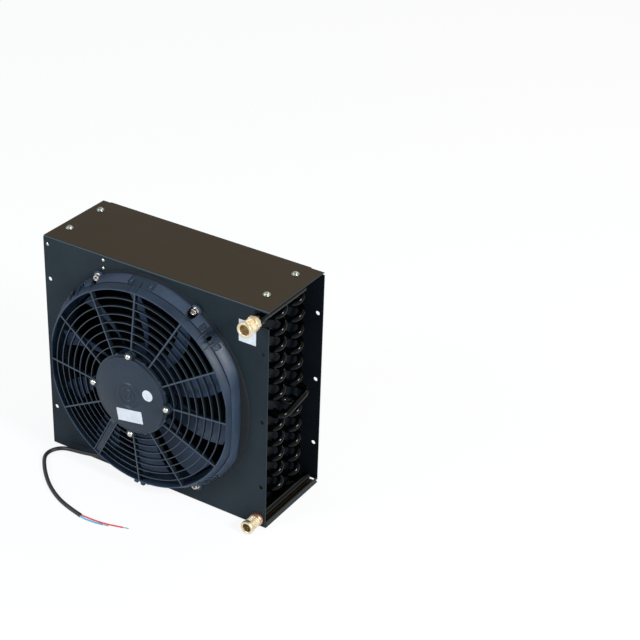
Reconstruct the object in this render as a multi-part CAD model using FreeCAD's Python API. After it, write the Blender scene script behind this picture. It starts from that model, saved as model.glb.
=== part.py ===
import FreeCAD, Part
import math
import os

# Condenser unit of a vehicle air conditioner: a tube and fin coil in a folded steel shroud,
# with a 12 inch axial fan on the front and a wire grille on the back.
# Millimetres. +X is to the right seen from the fan side, +Y runs from the fan to the grille,
# +Z is up. The origin is the centre of the bottom face that the unit stands on.

# Casing
WIDTH = 375.0
HEIGHT = 345.0
DEPTH = 136.0
SHEET = 1.5
FOLD = 3.0
REAR_LIP = 10.0
SIDE_LIP = 9.0
RIGHT_RECESS = 37.0
LEFT_RECESS = 24.0
RIGHT_FLANGE = 16.5
LEFT_FLANGE = 16.5
FLANGE_SLIT = 3.5
FRONT_FLANGE = 12.0
FRONT_FLANGE_SHORT = 25.0

# Holes that fasten the unit to the vehicle
MOUNT_INSET = 8.5
MOUNT_END = 66.5
MOUNT_RISE = HEIGHT / 2 - MOUNT_END
MOUNT_HOLE = 3.25

# Coil
TUBE_PITCH = 25.4
LEVELS = int((HEIGHT - 2 * SHEET) // TUBE_PITCH)
ROW_PITCH = 22.0
ROWS = 4
LAST_ROW = 19.0
HIGH_ROW = 0.75
LOW_ROW = 0.25
FIN_EDGE = 11.0
TUBE = 4.76
BEND_LEG = 6.5
BEND_CHORDS = 3
TUBE_SIDES = 6
CROSS_PLAY = 1.0
CROSS_BEND = 14.0
FIN_PITCH = 15.0
FIN_GAP = 5.0
COMB_DEPTH = 3.0
SPLIT_LEVEL = 5

# Refrigerant pipes and their end fittings
HEADER = 6.35
HEADER_SIDES = 12
INLET_INSET = 14.5
INLET_DROP = 14.5
INLET_WINDOW = 11.5
PIPE_PLAY = 1.5
OUTLET_INSET = 12.5
OUTLET_RISE = 13.0
HEADER_END = 8.0
FITTING_SIDES = 20
LIP_WIDTH = 6.0
LIP_EDGE = 1.0
INLET_NECK = HEADER + 1.0
INLET_BORE = 7.5
INLET_DEPTH = 30.0
INLET_BARREL = 10.0
INLET_LIP = 11.5
INLET_HEX = 24.0
HEX_START = 2.0
HEX_LENGTH = 8.0
INLET_REACH = 36.0
OUTLET_BORE = 6.4
OUTLET_DEPTH = 20.0
OUTLET_BARREL = 8.8
OUTLET_LIP = 9.8
OUTLET_COLLAR = 9.8
COLLAR_LENGTH = 6.0
OUTLET_REACH = 28.0

# Fan, turned about its own axis: radii from the axis, heights forward of the front panel
FAN_MARGIN = 22.5
FAN_RIM = HEIGHT / 2 - FAN_MARGIN
ROUND_SIDES = 36
MOTOR_SIDES = 20
SHAFT_SIDES = 10
HUB_SIDES = 30
SMALL_SIDES = 10
SCREW_SIDES = 6
RIM_FACE = 4.0
DUCT = FAN_RIM - RIM_FACE
OPENING_PLAY = 1.5
DUCT_TAIL = 10.0
RIM_HEIGHT = 31.0
GASKET = 2.0
MOULD_WALL = 2.5
RIM_WALL = 3.0
STEP_RADIUS = FAN_RIM + 5.5
STEP_HEIGHT = 19.0
STEP_DROP = 6.0
SHOULDER_RADIUS = STEP_RADIUS + 5.5
SHOULDER_HEIGHT = 17.0
SKIRT = SHOULDER_RADIUS + 4.0
SKIRT_EDGE = 3.0
GASKET_OUT = SKIRT + 2.0
BAND_IN = STEP_RADIUS + 0.5
BAND_OUT = SHOULDER_RADIUS + 2.0
BAND_TOP = 21.0
BAND_BOTTOM = 12.0
BAND_DRAFT = 0.6
BAND_SLOPE = 1.0
SIDE_BAND_STEPS = 3
END_BAND_STEPS = 2
LUG_CIRCLE = SHOULDER_RADIUS + 1.0
LUG = 8.5
LUG_TOP = 8.0
LUG_WALL = 1.5
LUG_ANGLE = 60.0
SPOKES = 12
SPOKE = 2.6
SPOKE_DEPTH = 7.0
CHANNEL = 12.0
CHANNEL_INDEX = 8
RINGS = 7
RING_PLAY = 0.7
RING_DROP = 0.4
RING = 1.8
RING_DEPTH = 5.5
HUB_RING_IN = 46.8
HUB_RING_DEPTH = 6.5
NUB_IN = SHOULDER_RADIUS - 2.0
NUB_OUT = SHOULDER_RADIUS + 9.0
NUB = 6.0
NUB_DEPTH = 9.0
NUB_SPREAD = 9.0

# Motor
CAP = 58.0
CAP_TOP = 49.0
CAP_SHEET = 3.5
CAP_EDGE = 1.2
EMBOSS_IN = 17.5
EMBOSS_OUT = 19.5
EMBOSS = 0.8
EAR_CIRCLE = 62.0
EAR = 6.5
CAN = 45.8
CAN_WALL = 2.0
CAN_TAIL = 2.0
SHAFT = 4.0
RUNNING_FIT = 0.05
BUSH = 8.0
BOSS = 11.0
BUSH_LENGTH = 8.0
BEARING_LENGTH = 4.5
MAGNET = 8.8
MAGNET_STEPS = 8
MAGNET_LAP = 2.0
AIR_GAP = 1.0
CORE_BOTTOM = 12.0
CORE_TOP = 28.0
CORE_SLOTS = 10
SLOT_WIDTH = 5.0
SLOT_DEPTH = 12.0
WINDING_IN = 13.0
WINDING_OUT = 31.0
WINDING = 4.5
COMMUTATOR = 12.0
COMMUTATOR_LENGTH = 7.0
COMMUTATOR_PLAY = 0.5
BRUSH_GAP = 0.3
BRUSH = 5.0
BRUSH_LENGTH = 12.0
CARD_IN = 14.0
CARD = 2.0
SHAFT_END_PLAY = 0.5

# Impeller
BLADES = 10
BLADE_PHASE = 29.5
HUB = 57.0
HUB_WALL = 4.0
HUB_FRONT = 32.0
HUB_BACK = -5.0
HUB_FLOOR = 3.0
HUB_BOSS = 10.0
HUB_BOSS_TOP = 1.0
BLADE_PLAY = 3.0
BLADE_TIP = DUCT - BLADE_PLAY
BLADE_SPAN = 23.0
BLADE_FRONT = 20.0
BLADE_REAR = -3.0
BLADE_WALL = 2.4
BLADE_EDGE = 1.2
BLADE_CAMBER = 4.0
BLADE_SWEEP = 10.0
BLADE_STEPS = 3
BLADE_STATIONS = 3
BLADE_ROOT_LAP = 1.0
BLADE_TRIM = 4.0
NUT = 13.0
NUT_HEIGHT = 5.0
SHAFT_TAIL = 2.0

# Grille
MESH_PITCH = 12.7
WIRE = 0.9
WIRE_SIDES = 4
MESH_SHIFT = 1.75
FRAME_SHEET = 1.2
FRAME_INSET = 8.5
FRAME_LAP = 12.5
FRAME_LEFT = -WIDTH / 2 + FRAME_INSET
FRAME_RIGHT = WIDTH / 2 - RIGHT_RECESS + FRAME_LAP
FRAME_SIDE = 14.0
FRAME_TOP = 6.5
FRAME_MARGIN = 3.3
WIRE_SHORT = 3.0
MESH_CENTRE = (FRAME_LEFT + FRAME_RIGHT) / 2 - MESH_SHIFT
UPRIGHTS = int((FRAME_RIGHT - FRAME_LEFT - 2 * WIRE_SHORT) // MESH_PITCH)
MESH_END = FRAME_MARGIN + WIRE_SHORT
CROSSES = int((HEIGHT - 2 * MESH_END) // MESH_PITCH) + 1

# Small parts
BOLT_FLANGE = 6.5
BOLT_SHEET = 1.0
BOLT_HEAD = 5.2
BOLT_CROWN = 3.6
BOLT_HEIGHT = 3.6
BOLT_NEAR = 38.0
BOLT_FAR = 107.0
SCREW_HEAD = 3.2
SCREW_HEIGHT = 1.6
CAP_SCREW = 4.2
CAP_SCREW_HEIGHT = 3.0
LUG_WASHER = 6.0
LUG_SCREW = 4.8
LUG_SCREW_HEIGHT = 6.0
RIVNUT = 4.5
RIVNUT_LENGTH = 9.0
RIVET = 2.4
RIVET_HEIGHT = 1.2
RIVET_SIDE = 76.0
RIVET_DROP = 7.0
RIVET_GAP = 3.8
CORNER_SIDE = 7.5
CORNER_DROP = 12.0
STICKER = 0.3
TAG_WIDTH = 27.0
TAG_HEIGHT = 33.0
TAG_SIDE = 5.0
TAG_DROP = 9.5
LABEL_WIDTH = 43.0
LABEL_HEIGHT = 19.0
LABEL_TILT = 9.5
LABEL_X = 1.0
LABEL_Y = -31.5
SPOT = 8.5
SPOT_X = 32.0
SPOT_Y = 12.0

# Cable: a sheathed pair from the fan's foot to two stripped wires in front of the unit
CABLE = 3.0
CORE_WIRE = 1.1
BARE_TIP = 0.7
TIP_LENGTH = 9.0
GLAND = 5.0
GLAND_TIP = 3.9
GLAND_LENGTH = 22.0
EXIT_GAP = 14.7
EXIT_ANGLE = -120.2
FLOOR_PLAY = 0.1
CABLE_SIDES = 6
ARC_SHARE = 0.45

# How far a cutting shape reaches past what it cuts
OVER = 1.0

FRONT = -DEPTH / 2
REAR = DEPTH / 2
RIGHT_PLATE = WIDTH / 2 - RIGHT_RECESS
LEFT_PLATE = -WIDTH / 2 + LEFT_RECESS
FAN_X = (LEFT_PLATE + RIGHT_PLATE) / 2
FAN_Z = HEIGHT / 2
MOUNT_X = WIDTH / 2 - MOUNT_INSET


def vec(x, y, z):
    return FreeCAD.Vector(x, y, z)


def box(x0, x1, y0, y1, z0, z1):
    return Part.makeBox(x1 - x0, y1 - y0, z1 - z0, vec(x0, y0, z0))


def disc(radius, start, axis, length):
    """A cylinder from start along axis."""
    return Part.makeCylinder(radius, length, start, axis)


def corner_radius(across_flats, sides):
    return across_flats / 2 / math.cos(math.pi / sides)


def prism(radius, sides, start, axis, length):
    """A bar with a regular polygon section whose corners lie at radius."""
    side = axis.cross(vec(1, 0, 0))
    if side.Length < 0.5:
        side = axis.cross(vec(0, 1, 0))
    side.normalize()
    other = axis.cross(side)
    points = []
    for index in range(sides):
        turn = 2 * math.pi * (index + 0.5) / sides
        points.append(start + side * (radius * math.cos(turn)) + other * (radius * math.sin(turn)))
    return polygon(points).extrude(axis * length)


def polygon(points):
    return Part.Face(Part.makePolygon(points + points[:1]))


def fuse(shapes):
    """One solid from touching or crossing ones."""
    joined = shapes[0].fuse(shapes[1:])
    return joined.removeSplitter()


def group(shapes):
    """Separate solids in one node."""
    return Part.makeCompound(shapes)


def stand(shape, x, z):
    """What is drawn with x right, y up and z forward is turned to stand on the front panel."""
    placed = shape.copy()
    turn = FreeCAD.Placement(vec(x, FRONT, z), FreeCAD.Rotation(vec(1, 0, 0), 90))
    placed.transformShape(turn.toMatrix(), True)
    return placed


def fan_place(shape):
    return stand(shape, FAN_X, FAN_Z)


def distinct(points):
    """The points of a loop without repeats in a row."""
    kept = []
    for point in points:
        if not kept or (point - kept[-1]).Length > 1e-6:
            kept.append(point)
    if (kept[0] - kept[-1]).Length < 1e-6:
        kept.pop()
    return kept


def solid_from(faces):
    solid = Part.Solid(Part.Shell(faces))
    if solid.Volume < 0:
        solid.reverse()
    return solid


def turned(profile, sides, first=0, steps=None):
    """Carries a closed profile of (radius, height) points round the z axis in flat steps,
    sides to a full turn. first and steps give an arc of it."""
    full = steps is None
    count = sides if full else steps
    stations = []
    for index in range(count + 1):
        angle = 360.0 * ((first + index) % sides) / sides
        stations.append([polar(radius, angle, height) for radius, height in profile])
    faces = []
    for before, after in zip(stations, stations[1:]):
        for index in range(len(profile)):
            following = (index + 1) % len(profile)
            corners = distinct([before[index], before[following], after[following], after[index]])
            if len(corners) > 2:
                faces.append(polygon(corners))
    if not full:
        faces.append(polygon(stations[0]))
        faces.append(polygon(stations[-1]))
    return solid_from(faces)


def ring(inner, outer, bottom, top, sides):
    return turned([(inner, bottom), (outer, bottom), (outer, top), (inner, top)], sides)


def polar(radius, degrees, height=0.0):
    angle = math.radians(degrees)
    return vec(radius * math.cos(angle), radius * math.sin(angle), height)


def around(shape, degrees):
    copy = shape.copy()
    copy.rotate(vec(0, 0, 0), vec(0, 0, 1), degrees)
    return copy


def mount_levels():
    return [FAN_Z - MOUNT_RISE, FAN_Z, FAN_Z + MOUNT_RISE]


def lug_angles():
    return [LUG_ANGLE, 180 - LUG_ANGLE, 180 + LUG_ANGLE, -LUG_ANGLE]


# Shroud: one folded sheet with the front panel, the top, the bottom and two rear lips.

def inlet_axis():
    return vec(WIDTH / 2 - INLET_INSET, FRONT, HEIGHT - INLET_DROP)


def outlet_axis():
    return vec(WIDTH / 2 - OUTLET_INSET, FRONT, OUTLET_RISE)


def folded_tray():
    outer = box(-WIDTH / 2, WIDTH / 2, FRONT, REAR, 0, HEIGHT)
    inner = box(-WIDTH / 2, WIDTH / 2, FRONT + SHEET, REAR - SHEET, SHEET, HEIGHT - SHEET)
    outer = outer.makeFillet(FOLD, along_x(outer))
    inner = inner.makeFillet(FOLD - SHEET, along_x(inner))
    return outer.cut(inner)


def along_x(shape):
    return [edge for edge in shape.Edges if abs(edge.tangentAt(edge.FirstParameter).x) > 0.99]


def shroud():
    tray = folded_tray()
    rear_window = box(-WIDTH, WIDTH, REAR - FOLD, REAR + OVER, REAR_LIP, HEIGHT - REAR_LIP)
    right_end = box(RIGHT_PLATE - SHEET, WIDTH, REAR - FOLD, REAR + OVER, SHEET, HEIGHT - SHEET)
    left_end = box(-WIDTH, LEFT_PLATE + SHEET, REAR - FOLD, REAR + OVER, SHEET, HEIGHT - SHEET)
    opening = fan_place(ring(0, DUCT + RIM_WALL + OPENING_PLAY, -SHEET - OVER, OVER, ROUND_SIDES))
    cuts = [rear_window, right_end, left_end, opening]
    before = FRONT - OVER
    behind = FRONT + SHEET + OVER
    for x in (-MOUNT_X, MOUNT_X):
        for z in mount_levels():
            cuts.append(disc(MOUNT_HOLE, vec(x, before, z), vec(0, 1, 0), behind - before))
    half = HEADER + PIPE_PLAY
    outlet = outlet_axis()
    cuts.append(box(outlet.x - half, outlet.x + half, before, behind, outlet.z - half, outlet.z + half))
    inlet = inlet_axis()
    low = inlet.z - INLET_WINDOW
    cuts.append(box(inlet.x - half, WIDTH, before, behind, low, low + 2 * INLET_WINDOW))
    tray = tray.cut(cuts)
    lips = []
    for x0 in (-WIDTH / 2, WIDTH / 2 - SHEET):
        lips.append(box(x0, x0 + SHEET, FRONT + FOLD, REAR - FOLD, SHEET / 2, SIDE_LIP))
    return fuse([tray] + lips)


# End plates: tube sheets of the coil, with flanges that bolt to the shroud.

def end_plate(face, out, flange, rear_edge):
    """face is the outer face of the sheet, out is +1 or -1 for the way it looks."""
    low = SHEET
    high = HEIGHT - SHEET
    inside = face - out * SHEET

    def span(x_end, y0, y1, z0, z1):
        return box(min(inside, x_end), max(inside, x_end), y0, y1, z0, z1)

    front = FRONT + SHEET
    short = FRONT_FLANGE_SHORT
    pieces = [
        span(face, front, REAR, low, high),
        span(face + out * flange, front + FRONT_FLANGE, REAR - FOLD, low, low + SHEET),
        span(face + out * flange, front + FRONT_FLANGE, REAR - FOLD, high - SHEET, high),
        span(face + out * FRONT_FLANGE, front, front + SHEET, short, HEIGHT - short),
        span(rear_edge, REAR - SHEET, REAR, low + FLANGE_SLIT, high - FLANGE_SLIT),
    ]
    return fuse(pieces)


def end_plate_right():
    plate = end_plate(RIGHT_PLATE, 1, RIGHT_FLANGE, WIDTH / 2)
    holes = []
    for z in mount_levels():
        holes.append(disc(MOUNT_HOLE, vec(MOUNT_X, REAR - SHEET - OVER, z), vec(0, 1, 0), SHEET + 2 * OVER))
    return plate.cut(holes)


def end_plate_left():
    return end_plate(LEFT_PLATE, -1, LEFT_FLANGE, -WIDTH / 2)


# Coil: aluminium fins on four rows of copper tube. Rows 1 and 3 stand half a pitch higher
# than rows 2 and 4. The straight runs are expanded into the fins and are one block with them.

FIN_HEIGHT = TUBE_PITCH * LEVELS
FIN_BOTTOM = (HEIGHT - FIN_HEIGHT) / 2


def row_y(row):
    return REAR - LAST_ROW - ROW_PITCH * (ROWS - row)


def tube_z(row, level):
    offset = HIGH_ROW if row in (1, 3) else LOW_ROW
    return FIN_BOTTOM + TUBE_PITCH * (level + offset)


def fin_pack():
    x0 = LEFT_PLATE + SHEET
    x1 = RIGHT_PLATE - SHEET
    front = row_y(1) - FIN_EDGE
    back = row_y(ROWS) + FIN_EDGE
    count = int((x1 - x0 - FIN_PITCH) / FIN_PITCH)
    margin = (x1 - x0 - count * FIN_PITCH) / 2
    near = [(x0, front)]
    far = [(x0, back)]
    for index in range(count):
        left = x0 + margin + index * FIN_PITCH + (FIN_PITCH - FIN_GAP) / 2
        right = left + FIN_GAP
        near += [(left, front), (left, front + COMB_DEPTH), (right, front + COMB_DEPTH), (right, front)]
        far += [(left, back), (left, back - COMB_DEPTH), (right, back - COMB_DEPTH), (right, back)]
    near.append((x1, front))
    far.append((x1, back))
    outline = near + far[::-1]
    points = [vec(x, y, FIN_BOTTOM) for x, y in outline]
    return Part.Face(Part.makePolygon(points + points[:1])).extrude(vec(0, 0, FIN_HEIGHT))


def mitred_tube(points, radius, sides, normal):
    """A tube with flat sides along points that lie in the plane square to normal."""
    sections = []
    for index, point in enumerate(points):
        here = max(index, 1)
        after = min(index, len(points) - 2)
        way_in = (points[here] - points[here - 1]).normalize()
        way_out = (points[after + 1] - points[after]).normalize()
        along = (way_in + way_out).normalize()
        side = along.cross(normal) * (1 / along.dot(way_out))
        section = []
        for corner in range(sides):
            turn = 2 * math.pi * (corner + 0.5) / sides
            section.append(point + normal * (radius * math.cos(turn)) + side * (radius * math.sin(turn)))
        sections.append(section)
    faces = [polygon(sections[0]), polygon(sections[-1])]
    for first, second in zip(sections, sections[1:]):
        for corner in range(sides):
            following = (corner + 1) % sides
            faces.append(polygon([first[corner], first[following], second[following], second[corner]]))
    return solid_from(faces)


def rounded(points, bend, chords):
    """A path whose corners are replaced by a few chords of an arc."""
    path = [points[0]]
    for before, corner, after in zip(points, points[1:], points[2:]):
        way_in = (corner - before).normalize()
        way_out = (after - corner).normalize()
        turn = way_in.getAngle(way_out)
        inward = (way_out - way_in * math.cos(turn)).normalize()
        centre = corner - way_in * (bend * math.tan(turn / 2)) + inward * bend
        for step in range(chords + 1):
            angle = turn * step / chords
            path.append(centre + way_in * (bend * math.sin(angle)) - inward * (bend * math.cos(angle)))
    path.append(points[-1])
    return distinct(path)


def return_bend(face, out, first, second):
    """A half circle in chords, on two straight legs."""
    radius = math.dist(first, second) / 2
    start = vec(face, first[0], first[1])
    across = (vec(face, second[0], second[1]) - start).normalize()
    leg = vec(out * BEND_LEG, 0, 0)
    path = [start]
    for step in range(BEND_CHORDS + 1):
        turn = math.pi * step / BEND_CHORDS
        outward = vec(out * radius * math.sin(turn), 0, 0)
        path.append(start + leg + across * (radius - radius * math.cos(turn)) + outward)
    path.append(start + across * (2 * radius))
    return mitred_tube(path, TUBE, TUBE_SIDES, across.cross(vec(out, 0, 0)))


def hairpins(row):
    """Left ends of the hairpin tubes: each joins the two rows of a pair at one level."""
    bends = []
    for level in range(LEVELS):
        if row == 3 and level >= LEVELS - 2:
            continue
        low = (row_y(row + 1), tube_z(row + 1, level))
        high = (row_y(row), tube_z(row, level))
        bends.append(return_bend(LEFT_PLATE, -1, low, high))
    if row == 3:
        for upright in (3, 4):
            low = (row_y(upright), tube_z(upright, LEVELS - 2))
            high = (row_y(upright), tube_z(upright, LEVELS - 1))
            bends.append(return_bend(LEFT_PLATE, -1, low, high))
    return group(bends)


def return_bends(row):
    """Brazed bends on the right, one level up from the hairpins, with the middle one left out."""
    bends = []
    for level in range(LEVELS - 1):
        if level != SPLIT_LEVEL:
            low = (row_y(row), tube_z(row, level))
            high = (row_y(row + 1), tube_z(row + 1, level + 1))
            bends.append(return_bend(RIGHT_PLATE, 1, low, high))
    return group(bends)


def crossover_tubes():
    """The two circuits change over at mid height: a short bend, and a long one outside it."""
    short_first = (row_y(3), tube_z(3, SPLIT_LEVEL))
    short_second = (row_y(2), tube_z(2, SPLIT_LEVEL + 1))
    long_first = (row_y(4), tube_z(4, SPLIT_LEVEL + 1))
    long_second = (row_y(1), tube_z(1, SPLIT_LEVEL))
    outward = vec(BEND_LEG + TUBE_PITCH / 2 + 2 * TUBE + CROSS_PLAY, 0, 0)
    start = vec(RIGHT_PLATE, long_first[0], long_first[1])
    end = vec(RIGHT_PLATE, long_second[0], long_second[1])
    path = rounded([start, start + outward, end + outward, end], CROSS_BEND, BEND_CHORDS - 1)
    normal = (end - start).cross(outward).normalize()
    return group([return_bend(RIGHT_PLATE, 1, short_first, short_second),
                  mitred_tube(path, TUBE, TUBE_SIDES, normal)])


# Pipes and cables: straight runs joined by tangent arcs.

def tangent_path(points):
    """A wire of straight runs and tangent arcs, each arc as large as its two runs allow,
    with the radius of each arc and the whole length."""
    edges = []
    radii = []
    length = 0.0
    here = points[0]
    for before, corner, after in zip(points, points[1:], points[2:]):
        way_in = (corner - before).normalize()
        way_out = (after - corner).normalize()
        turn = way_in.getAngle(way_out)
        shorter = min((corner - before).Length, (after - corner).Length)
        radius = ARC_SHARE * shorter / math.tan(turn / 2)
        cut = radius * math.tan(turn / 2)
        first = corner - way_in * cut
        last = corner + way_out * cut
        inward = (way_out - way_in).normalize()
        middle = corner + inward * (radius / math.cos(turn / 2) - radius)
        edges.append(Part.LineSegment(here, first).toShape())
        edges.append(Part.Arc(first, middle, last).toShape())
        length += (first - here).Length + radius * turn
        radii.append(round(radius, 1))
        here = last
    edges.append(Part.LineSegment(here, points[-1]).toShape())
    length += (points[-1] - here).Length
    return Part.Wire(edges), radii, length


def pipe(points, radius):
    path, radii, length = tangent_path(points)
    along = (points[1] - points[0]).normalize()
    section = prism(radius, CABLE_SIDES, points[0], along, 1.0).Faces
    start = min(section, key=lambda face: (face.CenterOfMass - points[0]).Length)
    return path.makePipeShell([start.OuterWire], True, False), start.Area, radii, length


def branch(header_x, header_z, row, level):
    """A coil tube's stub from the right end plate to the header that runs past it."""
    y = row_y(row)
    start = vec(RIGHT_PLATE, y, tube_z(row, level))
    reach = vec(header_x, y, header_z) - start
    length = reach.Length
    return prism(TUBE, HEADER_SIDES, start, reach.normalize(), length)


def header(axis, rows, level):
    start = vec(axis.x, FRONT, axis.z)
    length = row_y(rows[-1]) + HEADER_END - FRONT
    pieces = [prism(HEADER, HEADER_SIDES, start, vec(0, 1, 0), length)]
    for row in rows:
        pieces.append(branch(axis.x, axis.z, row, level))
    face = box(-WIDTH, RIGHT_PLATE, FRONT, REAR, 0, HEIGHT)
    return fuse(pieces).cut(face)


def inlet_header():
    return header(inlet_axis(), (1, 3), LEVELS - 1)


def outlet_header():
    return header(outlet_axis(), (2, 4), 0)


def rolled_lip(barrel, lip, mouth):
    """Profile points from the barrel over the lip to the mouth."""
    return [(barrel, mouth - LIP_WIDTH), (lip, mouth - LIP_WIDTH + LIP_EDGE), (lip, mouth - LIP_EDGE),
            (lip - LIP_EDGE, mouth)]


def inlet_fitting():
    """Brass: a flange, a hexagon and a barrel with a rolled mouth."""
    axis = inlet_axis()
    mouth = INLET_REACH
    profile = [(0, 0), (INLET_NECK, 0), (INLET_NECK, HEX_START), (INLET_BARREL, HEX_START)]
    profile += rolled_lip(INLET_BARREL, INLET_LIP, mouth) + [(0, mouth)]
    hexagon = prism(corner_radius(INLET_HEX, 6), 6, vec(0, 0, HEX_START), vec(0, 0, 1), HEX_LENGTH)
    body = fuse([turned(profile, FITTING_SIDES), hexagon])
    bore = disc(INLET_BORE, vec(0, 0, mouth - INLET_DEPTH), vec(0, 0, 1), INLET_DEPTH + OVER)
    return stand(body.cut(bore), axis.x, axis.z)


def outlet_fitting():
    """Brass: a plain barrel with a bead at its mouth."""
    axis = outlet_axis()
    mouth = OUTLET_REACH
    profile = [(0, COLLAR_LENGTH), (OUTLET_BARREL, COLLAR_LENGTH)]
    profile += rolled_lip(OUTLET_BARREL, OUTLET_LIP, mouth) + [(0, mouth)]
    bore = disc(OUTLET_BORE, vec(0, 0, mouth - OUTLET_DEPTH), vec(0, 0, 1), OUTLET_DEPTH + OVER)
    return stand(turned(profile, FITTING_SIDES).cut(bore), axis.x, axis.z)


def outlet_collar():
    axis = outlet_axis()
    return stand(ring(0, OUTLET_COLLAR, 0, COLLAR_LENGTH, FITTING_SIDES), axis.x, axis.z)


# Fan housing: one moulding with the duct, the stepped skirt, the lugs and the guard.

def hub_ring_top():
    return CAP_TOP - CAP_SHEET - CAN_WALL


def guard_height(radius):
    """Front of the guard, which rises in a straight line from the rim to the motor cap."""
    return RIM_HEIGHT + (hub_ring_top() - RIM_HEIGHT) * (FAN_RIM - radius) / (FAN_RIM - CAP)


def guard_rings():
    """Rings with a wedge section, wide in front and narrow behind."""
    rings = []
    outer = DUCT + MOULD_WALL / 2
    pitch = (outer - CAP - RING_PLAY) / RINGS
    for index in range(1, RINGS + 1):
        radius = outer - pitch * index
        top = guard_height(radius) - RING_DROP
        blade = [(radius - RING / 2, top), (radius, top - RING_DEPTH), (radius + RING / 2, top)]
        rings.append(turned(blade, ROUND_SIDES))
    return rings


def spoke(width):
    inner = (HUB_RING_IN + CAP) / 2
    outer = DUCT + MOULD_WALL / 2
    side = [(inner, hub_ring_top()), (CAP, hub_ring_top()), (outer, guard_height(outer)),
            (outer, guard_height(outer) - SPOKE_DEPTH), (CAP, hub_ring_top() - SPOKE_DEPTH),
            (inner, hub_ring_top() - SPOKE_DEPTH)]
    return polygon([vec(radius, -width / 2, height) for radius, height in side]).extrude(vec(0, width, 0))


def guard_spokes():
    spokes = []
    for index in range(SPOKES):
        width = CHANNEL if index == CHANNEL_INDEX else SPOKE
        spokes.append(around(spoke(width), 360.0 / SPOKES * index))
    return spokes


def ears(bottom, top):
    """Four round feet that the guard's hub ring and the motor cap share."""
    pieces = []
    for index in range(4):
        foot = polar(EAR_CIRCLE, 90 * index, bottom)
        pieces.append(prism(EAR, SMALL_SIDES, foot, vec(0, 0, 1), top - bottom))
    return pieces


def hub_ring():
    top = hub_ring_top()
    bottom = top - HUB_RING_DEPTH
    return [ring(HUB_RING_IN, CAP, bottom, top, ROUND_SIDES)] + ears(bottom, top)


def skirt():
    under = MOULD_WALL
    profile = [(DUCT, -DUCT_TAIL), (DUCT, RIM_HEIGHT), (FAN_RIM, RIM_HEIGHT),
               (STEP_RADIUS, STEP_HEIGHT + STEP_DROP), (STEP_RADIUS, STEP_HEIGHT),
               (SHOULDER_RADIUS, SHOULDER_HEIGHT), (SKIRT, GASKET + SKIRT_EDGE), (SKIRT, GASKET),
               (SKIRT - under, GASKET), (SHOULDER_RADIUS - under, SHOULDER_HEIGHT - under),
               (STEP_RADIUS - under, STEP_HEIGHT - under),
               (STEP_RADIUS - under, STEP_HEIGHT + STEP_DROP - under),
               (DUCT + RIM_WALL, RIM_HEIGHT - under), (DUCT + RIM_WALL, -DUCT_TAIL)]
    return turned(profile, ROUND_SIDES)


def bands():
    """Raised arcs on the shoulder."""
    pieces = []
    profile = [(BAND_IN, BAND_BOTTOM), (BAND_OUT, BAND_BOTTOM), (BAND_OUT - BAND_DRAFT, BAND_TOP),
               (BAND_IN, BAND_TOP + BAND_SLOPE)]
    for centre in range(4):
        half = SIDE_BAND_STEPS if centre % 2 == 0 else END_BAND_STEPS
        pieces.append(turned(profile, ROUND_SIDES, centre * ROUND_SIDES // 4 - half, 2 * half))
    return pieces


def nubs():
    pieces = []
    for side in (-1, 1):
        block = box(NUB_IN, NUB_OUT, -NUB / 2, NUB / 2, SHOULDER_HEIGHT - NUB_DEPTH, SHOULDER_HEIGHT)
        block.translate(vec(0, side * NUB_SPREAD / 2 + side * NUB / 2, 0))
        pieces += [around(block, 90), around(block, -90)]
    return pieces


def fan_housing():
    body = [skirt()] + bands() + nubs() + guard_rings() + guard_spokes() + hub_ring()
    pockets = []
    forward = vec(0, 0, 1)
    for angle in lug_angles():
        foot = polar(LUG_CIRCLE, angle, GASKET)
        seat = polar(LUG_CIRCLE, angle, LUG_TOP)
        body.append(prism(LUG, SMALL_SIDES, foot, forward, LUG_TOP - GASKET))
        pockets.append(prism(LUG - LUG_WALL, SMALL_SIDES, seat, forward, RIM_HEIGHT))
    can_seat = ring(0, HUB_RING_IN, 0, CAP_TOP, ROUND_SIDES)
    return fan_place(fuse(body).cut(pockets + [can_seat]))


def fan_gasket():
    return fan_place(ring(DUCT + RIM_WALL + OPENING_PLAY, GASKET_OUT, 0, GASKET, ROUND_SIDES))


# Motor: a short permanent magnet motor behind the cap in the middle of the guard.

def motor_cap():
    seat = CAP_TOP - CAP_SHEET
    profile = [(0, seat), (CAP, seat), (CAP, CAP_TOP - CAP_EDGE), (CAP - CAP_EDGE, CAP_TOP),
               (EMBOSS_OUT, CAP_TOP), (EMBOSS_OUT, CAP_TOP + EMBOSS), (EMBOSS_IN, CAP_TOP + EMBOSS),
               (EMBOSS_IN, CAP_TOP), (0, CAP_TOP)]
    boss = prism(BOSS, SMALL_SIDES, vec(0, 0, seat - BEARING_LENGTH), vec(0, 0, 1), BEARING_LENGTH)
    plate = fuse([turned(profile, ROUND_SIDES), boss] + ears(seat, CAP_TOP))
    return fan_place(plate.cut(disc(BUSH, vec(0, 0, seat - BEARING_LENGTH), vec(0, 0, 1), BEARING_LENGTH)))


def motor_can():
    seat = CAP_TOP - CAP_SHEET
    inside = CAN - CAN_WALL
    profile = [(0, CAN_TAIL), (CAN, CAN_TAIL), (CAN, seat - CAN_WALL), (CAP, seat - CAN_WALL), (CAP, seat),
               (inside, seat), (inside, CAN_TAIL + CAN_WALL), (BOSS, CAN_TAIL + CAN_WALL),
               (BOSS, CAN_TAIL + BUSH_LENGTH), (0, CAN_TAIL + BUSH_LENGTH)]
    can = turned(profile, MOTOR_SIDES)
    return fan_place(can.cut(disc(BUSH, vec(0, 0, CAN_TAIL), vec(0, 0, 1), BUSH_LENGTH)))


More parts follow.
